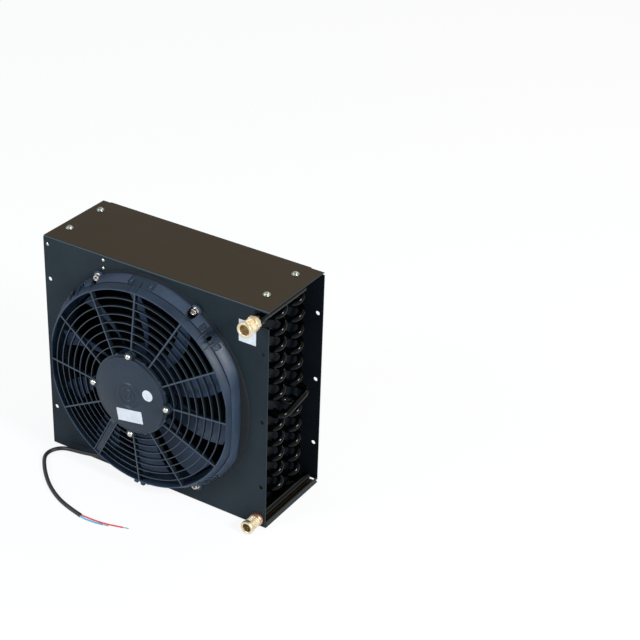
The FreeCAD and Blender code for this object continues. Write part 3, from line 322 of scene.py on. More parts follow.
def lathe(form, profile, steps, sweep=360.0, start=0.0):
    """Spins a closed profile of (radius, height) points about the z axis. sweep is in degrees."""
    turn = Matrix.Rotation(math.radians(start), 3, "Z")
    corners = [form.verts.new(turn @ Vector((radius, 0, height))) for radius, height in profile]
    sides = [form.edges.new(pair) for pair in zip(corners, corners[1:] + corners[:1])]
    full = sweep == 360.0
    spun = bmesh.ops.spin(form, geom=corners + sides, cent=(0, 0, 0), axis=(0, 0, 1),
                          angle=math.radians(sweep), steps=steps, use_merge=full)
    if not full:
        last = [item for item in spun["geom_last"] if isinstance(item, bmesh.types.BMVert)]
        bmesh.ops.contextual_create(form, geom=edge_ring(corners))
        bmesh.ops.contextual_create(form, geom=edge_ring(last))


def stamp(form, part, places):
    """Copies a small bmesh into form at each matrix, and frees it."""
    mesh = bpy.data.meshes.new("stamp")
    part.to_mesh(mesh)
    part.free()
    for place in places:
        first = len(form.verts)
        form.from_mesh(mesh)
        form.verts.ensure_lookup_table()
        bmesh.ops.transform(form, matrix=place, verts=form.verts[first:])
    bpy.data.meshes.remove(mesh)


def on_front(x, z):
    """Stands a piece, drawn with its foot at z = 0, on the front panel."""
    return Matrix.Translation((x, FRONT_FACE, z)) @ Matrix.Rotation(math.radians(90), 4, "X")


def threads(start, turns, root, crest):
    """The profile of a thread's turns, drawn as rings."""
    rings = []
    for turn in range(turns):
        height = start + THREAD_PITCH * turn
        rings += [(root, height), (root, height + 0.35), (crest, height + 0.75), (crest, height + 1.1)]
    return rings


turned_brass = finish("turned_brass", "#d3c29c", "#ecdfc2", 12, (0.36, 0.5), 0.8, 0.01, 1.0)
bare_copper = finish("brazed_copper", "#b98a70", "#dfb498", 6, (0.3, 0.45), 0.8, 0.02, 1.0)
inlet = bmesh.new()
lathe(inlet, [(0, 9.5), (9.0, 9.5), (9.0, 18.5)] + threads(18.8, 7, 9.3, 9.7) +
      [(9.4, 29.6), (9.4, 30.4), (10.9, 30.8), (11.5, 31.6), (11.5, 34.4), (11.0, 35.5), (10.0, 36.0),
       (8.3, 36.0), (7.4, 35.0), (7.4, 12.0), (0, 12.0)], 48)
nut = bmesh.new()
bmesh.ops.create_cone(nut, cap_ends=True, segments=6, radius1=HEX_CORNER, radius2=HEX_CORNER,
                      depth=HEX_LENGTH, matrix=Matrix.Rotation(math.radians(HEX_TURN), 4, "Z"))
bmesh.ops.bevel(nut, geom=nut.edges, offset=HEX_CHAMFER, offset_type="OFFSET", affect="EDGES",
                segments=2, profile=0.5, material=-1)
stamp(inlet, nut, [Matrix.Translation((0, 0, HEX_MIDDLE))])
piece("inlet_union", inlet, "casing", turned_brass, ["inlet_fitting"],
      on_front(INLET_X, INLET_Z), 30)
neck = bmesh.new()
lathe(neck, [(0, 0), (8.4, 0), (8.4, 6.4), (9.3, 7.2), (9.3, 9.5), (0, 9.5)], 32)
piece("inlet_neck", neck, "casing", sprayed_copper, [], on_front(INLET_X, INLET_Z))
outlet = bmesh.new()
lathe(outlet, [(0, 6.0), (8.2, 6.0), (8.8, 6.6), (8.8, 8.6)] + threads(9.2, 8, 8.4, 8.75) +
      [(8.4, 21.6), (8.4, 22.2), (9.3, 22.6), (9.8, 23.2), (9.8, 27.0), (9.4, 27.7), (8.8, 28.0),
       (7.2, 28.0), (6.4, 27.2), (6.4, 8.0), (0, 8.0)], 48)
piece("outlet_union", outlet, "casing", turned_brass, ["outlet_fitting"],
      on_front(OUTLET_X, OUTLET_Z), 30)
collar = bmesh.new()
lathe(collar, [(0, 0), (9.2, 0), (9.8, 0.8), (9.8, 4.9), (9.2, 6.0), (0, 6.0)], 48)
piece("brazed_collar", collar, "casing", bare_copper, ["outlet_collar"],
      on_front(OUTLET_X, OUTLET_Z))

# Fan gasket: a ring cut from closed cell foam, pressed between the skirt and the panel. It is black
# and quite matt, with fine pores.
foam = finish("closed_cell_foam", "#0b1116", "#131b21", 4, (0.8, 0.95), 0.9, 0.1)
coat(foam, "fan_gasket")

# Fan skirt: one moulding in glass filled nylon, a round duct inside a steep cone with flattened
# left and right sides. It is matt blue black, with a painted highlight that makes the faces that look
# forward paler. The fan's pieces are drawn about its axis, with their height towards the front.
FAN_MIDDLE = -6.5
FAN = on_front(FAN_MIDDLE, MIDDLE_HEIGHT)
FORWARD = (0, -1, 0)
MOUTH = Vector((152.2, 31.0))
FOOT = Vector((164.6, 5.5))
SLOPE = (FOOT - MOUTH).normalized()
FLAT_START = 148.0
FLAT_SHARE = 0.3
DUCT = 146.0
DUCT_TAIL = -10.0
LUGS = [(162.0, angle) for angle in (60, 120, 240, 300)]
LUG_SEAT = 5.0
LUG_POCKET = 7.0
CLIP_HOLES = [(157.4, angle) for angle in (45.6, 134.4, 225.6, 314.4)]
CLIP_HOLE_RADIUS = 2.8
CLIP_HOLE_FOOT, CLIP_HOLE_TOP = 8.0, 30.0
ABOVE_SKIRT = 34.0


def soften(form, offset, angle=28.0, segments=2):
    """Bevels the edges whose faces turn by more than angle degrees."""
    sharp = [edge for edge in form.edges
             if edge.is_manifold and edge.calc_face_angle() > math.radians(angle)]
    bmesh.ops.bevel(form, geom=sharp, offset=offset, offset_type="OFFSET", affect="EDGES",
                    segments=segments, profile=0.5, material=-1, clamp_overlap=True)


def on_circle(radius, angle, height=0.0):
    """Turned to angle about the fan's axis, and moved out to radius."""
    return Matrix.Rotation(math.radians(angle), 4, "Z") @ Matrix.Translation((radius, 0, height))


def carve(target, form, crisp=35):
    """Cuts the solids of a bmesh, drawn in the fan's millimetres, out of a finished piece."""
    bmesh.ops.transform(form, matrix=Matrix.Scale(MM, 4) @ FAN, verts=form.verts)
    tool_mesh = bpy.data.meshes.new("drill")
    form.to_mesh(tool_mesh)
    form.free()
    tool = bpy.data.objects.new("drill", tool_mesh)
    bpy.context.scene.collection.objects.link(tool)
    cut = target.modifiers.new("carve", "BOOLEAN")
    cut.operation = "DIFFERENCE"
    cut.solver = "EXACT"
    cut.object = tool
    whole = target.data
    evaluated = target.evaluated_get(bpy.context.evaluated_depsgraph_get())
    target.data = bpy.data.meshes.new_from_object(evaluated)
    target.modifiers.clear()
    target.data.set_sharp_from_angle(angle=math.radians(crisp))
    bpy.data.objects.remove(tool)
    for mesh in (whole, tool_mesh):
        bpy.data.meshes.remove(mesh)


def peg(form, foot, tip, bottom, top, spot, segments=32):
    """A round peg between two heights, at a (radius, angle) of the fan. foot and tip are its radii."""
    bmesh.ops.create_cone(form, cap_ends=True, segments=segments, radius1=foot, radius2=tip,
                          depth=top - bottom, matrix=on_circle(*spot, (bottom + top) / 2))


def drill(radius, bottom, top, spots):
    """Round cutters that stand at each (radius, angle) of the fan."""
    form = bmesh.new()
    for spot in spots:
        peg(form, radius, radius, bottom, top, spot)
    return form


def on_cone(share, lift=0.0):
    """Radius and height on the skirt's cone, from its mouth at 0 to its foot at 1. lift is off it."""
    point = MOUTH.lerp(FOOT, share) + Vector((-SLOPE.y, SLOPE.x)) * lift
    return point.x, point.y


def flatten(form):
    """Draws the skirt's left and right sides in, to the flats that stand on the round foot."""
    for corner in form.verts:
        beyond = abs(corner.co.x) - FLAT_START
        if beyond > 0:
            corner.co.x = math.copysign(FLAT_START + beyond * FLAT_SHARE, corner.co.x)


fan_nylon = finish("moulded_black_nylon", "#1b2733", "#253343", 40, (0.38, 0.5), 1.2, 0.06,
                   specular=0.24)
# Painted highlight: the faces that look forward are paler.
paint_light_facing(fan_nylon, FORWARD, "#35455a", 0.9, 0.98)
skirt = bmesh.new()
lathe(skirt, [(DUCT, DUCT_TAIL), (DUCT, 12), (150.4, 27), (150.4, MOUTH.y), on_cone(0), on_cone(0.38),
              on_cone(0.42, -1.2), on_cone(1, -1.2), (163.9, 2), (161.5, 2), on_cone(0.98, -3.6),
              on_cone(0.42, -3.6), (152.4, 20), (149, 11), (149, DUCT_TAIL)], 144)
soften(skirt, 0.4)
flatten(skirt)
fan_skirt = piece("fan_skirt", skirt, "casing", fan_nylon, ["fan_housing"], FAN)
carve(fan_skirt, drill(LUG_POCKET, LUG_SEAT, ABOVE_SKIRT, LUGS))
carve(fan_skirt, drill(CLIP_HOLE_RADIUS, CLIP_HOLE_FOOT, CLIP_HOLE_TOP, CLIP_HOLES))

# Skirt bands: raised arcs round the cone, of the same moulding, in a paler copy of its nylon that is a
# painted highlight. A band that meets a clip ends with a round pocket for a stop pin.
BANDS = ((-41.5, 41.5), (50, 58), (62, 82.5), (97.5, 118), (122, 130), (138.5, 221.5), (230, 238),
         (242, 264.5), (275.5, 298), (302, 310))
BAND_UPPER, BAND_LOWER = 0.43, 0.97
BAND_LIFT = 0.4
BAND_ROOT = -2.2
PIN_CIRCLE = on_cone(0.7)[0]
PINS = [(PIN_CIRCLE, angle) for angle in (39.9, 51.7, 128.3, 140.1, 219.9, 231.7, 308.3, 320.1)]
PIN_POCKET = 4.0
PIN_POCKET_FOOT, PIN_POCKET_TOP = 9.5, 26.0
# A paler copy of the skirt's nylon: painted highlight on the bands.
band_highlight_nylon = finish("highlight_black_nylon", "#273342", "#303d4e", 30, (0.4, 0.52), 1.2, 0.05,
                      specular=0.3)
bands = bmesh.new()
for first, last in BANDS:
    lathe(bands, [on_cone(BAND_UPPER, BAND_ROOT), on_cone(BAND_UPPER, BAND_LIFT),
                  on_cone(BAND_LOWER, BAND_LIFT), on_cone(BAND_LOWER, BAND_ROOT)],
          max(4, int(last - first) // 2), last - first, first)
soften(bands, 0.4)
flatten(bands)
skirt_bands = piece("skirt_bands", bands, "casing", band_highlight_nylon, [], FAN)
carve(skirt_bands, drill(PIN_POCKET, PIN_POCKET_FOOT, PIN_POCKET_TOP, PINS))
carve(skirt_bands, drill(LUG_POCKET, LUG_SEAT, ABOVE_SKIRT, LUGS))

# Screw lugs, stop pins, the blocks with stub pins beside the middle clips, the clips' ribs and two
# nubs at the foot, all moulded on the skirt and matt like it.
LUG_RADIUS = 8.5
LUG_FOOT = 2.0
PIN_RADII = (2.4, 2.1)
PIN_FOOT, PIN_TOP = 5.6, 11.6
BLOCK_ANGLES = (84.4, 95.6, 264.4, 275.6)
BLOCK_UPPER, BLOCK_LOWER = 0.45, 0.8
BLOCK_SKIN, BLOCK_ROOT = -0.5, -2.0
BLOCK_SWEEP = 3.6
STUB_CIRCLE = on_cone(0.66)[0]
STUB_RADII = (3.0, 2.6)
STUB_FOOT, STUB_TOP = 11.0, 17.0
RIB_ANGLES = (90.4, 95.0, 270.4, 275.0, 131.2, 137.6, 42.4, 48.8, 222.4, 228.8, 311.2, 317.6)
RIB_UPPER, RIB_LOWER = 0.08, 0.7
RIB_ROOT = -1.5
RIB_LIFTS = (1.2, 1.8)
RIB_SWEEP = 0.7
NUB_ANGLES = (264.2, 268.1)
NUB_CIRCLE, NUB_HEIGHT = 164.5, 12.5
NUB_SIZE = (10, 6, 9)


def block(form, size, radius, angle, height):
    """A box that faces the fan's axis, with its middle at this radius, angle and height."""
    place = on_circle(radius, angle, height)
    bmesh.ops.create_cube(form, size=1, matrix=place @ Matrix.Diagonal((*size, 1)))


lugs = bmesh.new()
for spot in LUGS:
    peg(lugs, LUG_RADIUS, LUG_RADIUS, LUG_FOOT, LUG_SEAT, spot, 40)
for spot in PINS:
    peg(lugs, *PIN_RADII, PIN_FOOT, PIN_TOP, spot, 20)
for angle in BLOCK_ANGLES:
    lathe(lugs, [on_cone(BLOCK_UPPER, BLOCK_ROOT), on_cone(BLOCK_UPPER, BLOCK_SKIN),
                 on_cone(BLOCK_LOWER, BLOCK_SKIN), on_cone(BLOCK_LOWER, BLOCK_ROOT)],
          3, BLOCK_SWEEP, angle - BLOCK_SWEEP / 2)
    peg(lugs, *STUB_RADII, STUB_FOOT, STUB_TOP, (STUB_CIRCLE, angle), 24)
for angle in RIB_ANGLES:
    lathe(lugs, [on_cone(RIB_UPPER, RIB_ROOT), on_cone(RIB_UPPER, RIB_LIFTS[0]),
                 on_cone(RIB_LOWER, RIB_LIFTS[1]), on_cone(RIB_LOWER, RIB_ROOT)],
          1, RIB_SWEEP, angle - RIB_SWEEP / 2)
for angle in NUB_ANGLES:
    block(lugs, NUB_SIZE, NUB_CIRCLE, angle, NUB_HEIGHT)
soften(lugs, 0.3, 50)
piece("skirt_lugs", lugs, "casing", fan_nylon, [], FAN)

# Fan guard: seven rings and twelve spokes of the same moulding, rising to the motor's flange. One
# spoke is an open channel that carries the motor's cable. Polish on the tool leaves the guard smoother
# than the skirt, and its narrow front edges carry a painted pale highlight.
RIM = 150.6
RINGS = 7
RING_PITCH = 11.4
RING_DEPTH = 5.0
RING_DROP = 0.3
RING_SHOULDER, RING_FRONT, RING_BACK = 0.75, 0.55, 0.3
SPOKES = 12
SPOKE_WIDTH = 2.5
SPOKE_DEPTH = 6.8
SPOKE_START = 56.0
SPOKE_BLOCK = (2.6, 4.0, 3.6)
SPOKE_BLOCK_HEIGHT = 29.5
CHANNEL_ANGLE = 240
CHANNEL_HALF = 5.1
CHANNEL_WALL = 1.8
CHANNEL_DEPTH = 6.9
HUB_RADIUS, HUB_BORE = 60.4, 46.8
HUB_TOP, HUB_FOOT = 43.5, 37.0
GUARD_OUTER = 150.0
GUARD_RUN = 92.0
TAB_ANGLES = (22, 36, 68, 112, 202, 248, 292, 338)
TAB_SIZE = (2.6, 5.0, 4.4)
TAB_CIRCLE, TAB_HEIGHT = 60.6, 41.4


def guard_height(radius):
    """Height of the guard's front, which slopes from the rim up to the hub."""
    return min(HUB_TOP, MOUTH.y + (HUB_TOP - MOUTH.y) * (GUARD_OUTER - radius) / GUARD_RUN)


def guard_bar(form, angle, offset, width, upper, lower):
    """A straight bar from the hub to the rim. upper and lower are its drops below the guard's front."""
    bar = bmesh.ops.create_cube(form, size=1)["verts"]
    for corner in bar:
        radius = RIM if corner.co.x > 0 else SPOKE_START
        drop = upper if corner.co.z > 0 else lower
        corner.co = (radius, offset + corner.co.y * width, guard_height(radius) - drop)
    bmesh.ops.rotate(form, cent=(0, 0, 0), matrix=Matrix.Rotation(math.radians(angle), 3, "Z"), verts=bar)


guard_nylon = finish("polished_black_nylon", "#0f161c", "#182129", 40, (0.3, 0.4), 1.2, 0.04,
                     specular=0.3)
# Painted highlight: the guard's forward faces are paler.
paint_light_facing(guard_nylon, FORWARD, "#36434f", 0.9, 0.98)
guard = bmesh.new()
for count in range(1, RINGS + 1):
    radius = RIM - RING_PITCH * count
    top = guard_height(radius) - RING_DROP
    gap = math.degrees(math.asin(CHANNEL_HALF / radius))
    lathe(guard, [(radius - RING_SHOULDER, top - RING_DROP), (radius - RING_FRONT, top),
                  (radius + RING_FRONT, top), (radius + RING_SHOULDER, top - RING_DROP),
                  (radius + RING_BACK, top - RING_DEPTH), (radius - RING_BACK, top - RING_DEPTH)],
          118, 360 - 2 * gap, CHANNEL_ANGLE + gap)
for count in range(SPOKES):
    angle = 360 // SPOKES * count
    if angle == CHANNEL_ANGLE:
        guard_bar(guard, angle, -CHANNEL_HALF, CHANNEL_WALL, 0.0, CHANNEL_DEPTH)
        guard_bar(guard, angle, CHANNEL_HALF, CHANNEL_WALL, 0.0, CHANNEL_DEPTH)
    else:
        guard_bar(guard, angle, 0.0, SPOKE_WIDTH, 0.0, SPOKE_DEPTH)
        block(guard, SPOKE_BLOCK, RIM, angle, SPOKE_BLOCK_HEIGHT)
lathe(guard, [(HUB_BORE, HUB_FOOT), (HUB_RADIUS, HUB_FOOT), (HUB_RADIUS, HUB_TOP),
              (HUB_BORE, HUB_TOP)], 96)
for angle in TAB_ANGLES:
    block(guard, TAB_SIZE, TAB_CIRCLE, angle, TAB_HEIGHT)
soften(guard, 0.3, 40, 1)
flatten(guard)
piece("fan_guard", guard, "casing", guard_nylon, [], FAN)

# Channel floor: the web between the channel's walls, which the motor's cable lies on. It is set back from
# the front edges and carries no painted highlight.
WEB_FRONT, WEB_BACK = 1.4, 3.4
channel_nylon = finish("matt_black_nylon", "#1a2531", "#253240", 30, (0.4, 0.5), 1.2, 0.05,
                       specular=0.3)
channel = bmesh.new()
guard_bar(channel, CHANNEL_ANGLE, 0.0, 2 * CHANNEL_HALF, WEB_FRONT, WEB_BACK)
soften(channel, 0.3, 50)
piece("channel_floor", channel, "casing", channel_nylon, [], FAN)

# Cable bridge: a small moulded saddle that holds the motor's cable where it enters the channel,
# of the guard's own nylon.
BRIDGE_SIZE = (9, 8, 6)
BRIDGE_CIRCLE, BRIDGE_HEIGHT = 62.5, 42.0
bridge = bmesh.new()
block(bridge, BRIDGE_SIZE, BRIDGE_CIRCLE, CHANNEL_ANGLE, BRIDGE_HEIGHT)
soften(bridge, 1.4, 50, 3)
piece("cable_bridge", bridge, "casing", guard_nylon, [], FAN)

# Magnets: two arcs of sintered ferrite inside the motor's can, a ceramic that is dull and a cold
# grey black. Like all that is inside the motor, they keep their CAD shape.
ferrite = finish("sintered_ferrite", "#26272a", "#35363a", 5, (0.55, 0.7), 0.7, 0.03)
coat(ferrite, "motor_magnets")

# Armature: a stack of punched steel sheets, mid grey with a soft shine, wound with enamelled copper
# wire, which is a glossy red brown. The commutator beside it is bare copper.
core_steel = finish("laminated_core_steel", "#55575a", "#77797c", 5, (0.35, 0.5), 0.7, 0.02, 1.0)
coat(core_steel, "armature_core")
enamelled = finish("enamelled_copper_wire", "#7a3a1e", "#a8552c", 3, (0.22, 0.34), 0.8, 0.05, 0.6)
coat(enamelled, "armature_windings")
coat(bare_copper, "commutator")

# Brushes: blocks of pressed carbon, soft black and matt, held by a card of resin bonded paper, which
# is a warm brown with a little shine.
carbon = finish("pressed_carbon", "#1d1d1e", "#2b2b2c", 2, (0.5, 0.62), 0.6, 0.02)
coat(carbon, "carbon_brushes")
laminate = finish("phenolic_laminate", "#5a3a22", "#74502f", 8, (0.4, 0.5), 0.8, 0.02)
coat(laminate, "brush_card")

# Shaft and bearings: ground steel, bright and smooth, which turns in bushes of sintered bronze, oil
# soaked, brown gold and rather dull.
ground_steel = finish("ground_steel", "#8d9094", "#b4b7ba", 6, (0.2, 0.32), 0.7, 0.01, 1.0)
coat(ground_steel, "motor_shaft")
sintered_bronze = finish("sintered_bronze", "#7d5d35", "#a57f4d", 3, (0.4, 0.55), 0.6, 0.03, 1.0)
coat(sintered_bronze, "front_bearing", "rear_bearing")

# Motor cap: a drawn steel disc in satin black paint with four ears, a low step inside its edge,
# and a ring and a pip pressed up in the middle. It closes the motor's can, painted alike.
CAP_FOOT = 45.5
CAP_RADIUS = 58.0
FLANGE_BORE = 46.0
EARS = [(62.0, angle) for angle in (0, 90, 180, 270)]
EAR_RADIUS, EAR_TOP = 6.5, 48.2
POST_RADIUS = 6.4
motor_paint = finish("satin_black_motor_paint", "#1a2630", "#222e3b", 50, (0.36, 0.46), 1.2, 0.03,
                     specular=0.3)
cap = bmesh.new()
lathe(cap, [(0, CAP_FOOT), (CAP_RADIUS, CAP_FOOT), (CAP_RADIUS, 47.3), (57.4, 48.1), (52.6, 48.2),
            (51.8, 48.5), (51.0, 49.0), (21.0, 49.0), (19.8, 50.0), (18.9, 50.6), (18.1, 50.6),
            (17.2, 49.9), (16.2, 48.6), (10.4, 48.6), (9.2, 49.7), (7.8, 49.7), (6.6, 48.6),
            (3.4, 48.6), (2.4, 50.0), (0, 50.3)], 96)
for spot in EARS:
    peg(cap, EAR_RADIUS, EAR_RADIUS, CAP_FOOT, EAR_TOP, spot)
    peg(cap, POST_RADIUS, POST_RADIUS, HUB_FOOT, HUB_TOP, spot)
lathe(cap, [(FLANGE_BORE, HUB_TOP), (CAP_RADIUS, HUB_TOP), (CAP_RADIUS, CAP_FOOT),
            (FLANGE_BORE, CAP_FOOT)], 96)
soften(cap, 0.4, 50)
piece("motor_cap_disc", cap, "casing", motor_paint, ["motor_cap"], FAN)
coat(motor_paint, "motor_can")

# Impeller: a cup over the motor and ten swept, cambered blades, moulded in one piece. A blade
# keeps its angle from root to tip, and its tip trails. The nylon is even, and a shade bluer than
# the guard's.
BLADES = 10
BLADE_ROOT, BLADE_TIP = 55.5, 142.8
BLADE_SPREAD = 7
BLADE_SWEEP = 10
BLADE_PHASE = 25
BLADE_FRONT = 20
BLADE_FALL = 15
BLADE_CAMBER = 10
BLADE_THICKNESS = 1.8
blade_nylon = finish("moulded_blade_nylon", "#27354a", "#33445a", 40, (0.42, 0.5), 1.2, 0.05,
                     specular=0.3)
rotor = bmesh.new()
lathe(rotor, [(4, -5), (54.5, -5), (56.4, -4), (57, -2), (57, 32), (53, 32), (53, -1), (51.5, -2),
              (10, -2), (10, 1), (4, 1)], 96)
for count in range(BLADES):
    blade = bmesh.ops.create_grid(rotor, x_segments=10, y_segments=8, size=0.5)["verts"]
    for corner in blade:
        share, chord = corner.co.x + 0.5, 0.5 - corner.co.y
        radius = BLADE_ROOT + (BLADE_TIP - BLADE_ROOT) * share
        angle = math.degrees(math.atan(math.tan(math.radians(BLADE_SPREAD)) * (2 * chord - 1)))
        angle += BLADE_SWEEP * (share * share - 1)
        height = BLADE_FRONT - BLADE_FALL * chord - BLADE_CAMBER * chord * (1 - chord)
        turn = math.radians(angle + BLADE_PHASE + 360 / BLADES * count)
        corner.co = (radius * math.cos(turn), radius * math.sin(turn), height)
    sheet = list({face for corner in blade for face in corner.link_faces})
    bmesh.ops.solidify(rotor, geom=sheet, thickness=BLADE_THICKNESS)
soften(rotor, 0.4, 45, 1)
piece("fan_impeller", rotor, "rotor", blade_nylon, ["impeller"], FAN)

# Casing bolts: flanged dome heads in zinc plated steel, passivated to a pale grey with a trace of
# green and yellow. The bolts below, the rivet nuts and the impeller's nut are plated alike.
BOLT_PLACES = [(x, y, CASING_TOP) for x in (158.75, -171.75) for y in (-30.0, 39.0)]
zinc_plate = finish("zinc_plated_steel", "#8a938b", "#b9c1b7", 5, (0.3, 0.42), 0.8, 0.01, 1.0)
bolts = bmesh.new()
bolt = bmesh.new()
lathe(bolt, [(0, 0), (5.4, 0), (5.6, 0.5), (5.4, 0.9), (4.5, 1.0), (4.3, 1.9), (3.4, 2.9), (1.9, 3.5),
             (0, 3.6)], 32)
stamp(bolts, bolt, [Matrix.Translation(place) for place in BOLT_PLACES])
piece("casing_bolts", bolts, "casing", zinc_plate, ["top_bolts"])
coat(zinc_plate, "bottom_bolts", "fan_rivnuts", "impeller_nut")

# Fan screws: bright zinc, with a fixed washer and a round socket in a tall head. They hold the
# skirt's lugs to the rivet nuts in the panel.
bright_zinc = finish("bright_zinc_steel", "#b9b2a6", "#e6dfd2", 4, (0.2, 0.32), 0.8, 0.01, 1.0)
screws = bmesh.new()
screw = bmesh.new()
lathe(screw, [(0, 0), (5.8, 0), (6.0, 0.3), (6.0, 0.8), (5.7, 1.1), (4.8, 1.2), (4.8, 5.2), (4.2, 6.0),
              (2.9, 6.0), (2.4, 5.6), (2.4, 2.6), (0, 2.6)], 32)
stamp(screws, screw, [on_circle(*spot, LUG_SEAT) for spot in LUGS])
piece("fan_screw_heads", screws, "casing", bright_zinc, ["fan_screws"], FAN)

# Cap screws: low domes in bright zinc, one in each ear, which hold the cap to the guard's hub. Their
# cross recess is too small to draw.
domes = bmesh.new()
dome = bmesh.new()
lathe(dome, [(0, 0), (4.0, 0), (4.2, 0.4), (3.9, 1.5), (3.1, 2.5), (1.9, 3.2), (0, 3.5)], 32)
stamp(domes, dome, [on_circle(*spot, EAR_TOP) for spot in EARS])
piece("cap_screw_heads", domes, "casing", bright_zinc, ["cap_screws"], FAN)

# Blind rivets: three small zinc plated domes with their broken stems, which join the front panel to
# the left plate and to what lies behind it above the fan.
RIVET_PLACES = ((-82.5, 338.0), (-82.5, 325.5), (-180.0, 333.0))
rivets = bmesh.new()
rivet = bmesh.new()
lathe(rivet, [(0, 0), (2.4, 0), (2.3, 0.5), (1.7, 1.0), (0.9, 1.2), (0.8, 0.8), (0, 0.8)], 24)
stamp(rivets, rivet, [on_front(x, z) for x, z in RIVET_PLACES])
piece("rivet_heads", rivets, "casing", bright_zinc, ["panel_rivets"])

# Frame screws: low zinc plated heads along the grille's flat frame, four down each side and two more
# along its top and its foot.
FRAME_FACE = 72.8
FRAME_SIDES = [(x, z) for x in (-172.0, 156.0) for z in (13.5, 119.5, 225.5, 331.5)]
FRAME_ENDS = [(x, z) for x in (-62.75, 43.25) for z in (6.55, 338.45)]
holders = bmesh.new()
holder = bmesh.new()
lathe(holder, [(0, 0), (3.1, 0), (3.2, 0.3), (2.8, 1.0), (1.8, 1.5), (0, 1.6)], 24)
backward = Matrix.Rotation(math.radians(-90), 4, "X")
stamp(holders, holder, [Matrix.Translation((x, FRAME_FACE, z)) @ backward
                        for x, z in FRAME_SIDES + FRAME_ENDS])
piece("frame_screw_heads", holders, "casing", zinc_plate, ["frame_screws"])

# Grille: steel wires, spot welded where they cross, half an inch apart. They are welded to the
# flat frame and powder coated with the casing.
MESH_PITCH = 12.7
UPRIGHTS, CROSSES = 26, 27
MESH_MIDDLE = -9.75
UPRIGHT_FACE, CROSS_FACE = 68.9, 70.7
WIRE_THICKNESS = 1.8
MESH_FOOT, MESH_TOP = 6.3, 338.7
MESH_LEFT, MESH_RIGHT = -176, 160
mesh_wires = bmesh.new()
for count in range(UPRIGHTS):
    x = MESH_MIDDLE + MESH_PITCH * (count - (UPRIGHTS - 1) / 2)
    bent_tube(mesh_wires, [(x, UPRIGHT_FACE, MESH_FOOT), (x, UPRIGHT_FACE, MESH_TOP)],
              WIRE_THICKNESS / 2, 0, 8)
for count in range(CROSSES):
    z = MIDDLE_HEIGHT + MESH_PITCH * (count - (CROSSES - 1) / 2)
    bent_tube(mesh_wires, [(MESH_LEFT, CROSS_FACE, z), (MESH_RIGHT, CROSS_FACE, z)],
              WIRE_THICKNESS / 2, 0, 8)
piece("grille_wires", mesh_wires, "casing", powder_coat, ["wire_mesh"])

# Labels: white plastic film on the motor cap and a tag beside the inlet, all left bare. The film is
# smooth, with a soft sheen.
white_film = finish("white_label_film", "#c6cacd", "#d5d9dc", 8, (0.3, 0.4), 0.8, 0.005)
coat(white_film, "fitting_tag", "motor_label", "cap_sticker")

# Motor cable: a two core lead in a soft black vinyl sheath. It leaves the fan's foot, runs down
# past the casing's corner and lies on the floor in a loose curve. The vinyl is smooth and a little
# waxy, so it shows one soft highlight along its length.
SHEATH_RADIUS = 3.0
CABLE_ROUTE = [(-96.9, -78.0, 17.2), (-117.0, -77.4, 12.4), (-135.0, -76.8, 9.0), (-148.5, -76.4, 6.9),
               (-158.3, -77.4, 5.7), (-166.8, -81.4, 4.8), (-172.7, -88.6, 4.0), (-174.9, -97.8, 3.5),
               (-172.6, -107.6, 3.2), (-163.5, -120.0, 3.1), (-146.0, -138.5, 3.1), (-121.5, -159.0, 3.1),
               (-93.5, -175.5, 3.1), (-66.0, -185.4, 3.1), (-38.3, -191.0, 3.1)]


def lay_wire(name, route, radius, material, node):
    """A round wire on a smooth curve along the route's points, in place of a CAD node."""
    curve = bpy.data.curves.new(name, "CURVE")
    curve.dimensions = "3D"
    curve.bevel_depth = radius * MM
    curve.bevel_resolution = 5
    curve.use_fill_caps = True
    spline = curve.splines.new("NURBS")
    spline.points.add(len(route) - 1)
    for control, point in zip(spline.points, route):
        control.co = (point[0] * MM, point[1] * MM, point[2] * MM, 1.0)
    spline.order_u = 3
    spline.use_endpoint_u = True
    spline.resolution_u = 10
    curve.materials.append(material)
    wire = bpy.data.objects.new(name, curve)
    bpy.context.scene.collection.objects.link(wire)
    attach(wire, "casing")
    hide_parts(node)
    return wire


vinyl_sheath = finish("extruded_black_vinyl", "#141518", "#1f2124", 30, (0.36, 0.48), 0.9, 0.02)
sheath = lay_wire("cable_sheath", CABLE_ROUTE, SHEATH_RADIUS, vinyl_sheath, "fan_cable")

# Strain relief: a soft tapered vinyl sleeve with grooves, moulded on the cable where it leaves the
# fan's skirt. It is a little rougher than the sheath.
GROOVES = 4
GROOVE_START = 3.0
GROOVE_PITCH = 3.4
GROOVE_FLARE = 0.16
SLEEVE_END = 21.9
moulded_vinyl = finish("moulded_black_vinyl", "#17181b", "#222427", 25, (0.45, 0.55), 0.7, 0.03)
relief = bmesh.new()
taper = [(0, 0), (3.3, 0), (3.9, 0.8)]
for groove in range(GROOVES):
    height = GROOVE_START + GROOVE_PITCH * groove
    flare = GROOVE_FLARE * groove
    taper += [(3.95 + flare, height), (3.45 + flare, height + 0.4), (3.45 + flare, height + 1.4),
              (4.0 + flare, height + 1.8)]
taper += [(4.8, 17.0), (5.0, 18.0), (5.0, SLEEVE_END), (0, SLEEVE_END)]
lathe(relief, taper, 32)
exit_point = Vector(CABLE_ROUTE[0])
inward = (exit_point - Vector(CABLE_ROUTE[1])).normalized()
facing = Matrix.Translation(exit_point) @ inward.to_track_quat("Z", "Y").to_matrix().to_4x4()
piece("strain_relief", relief, "casing", moulded_vinyl, ["cable_gland"], facing)

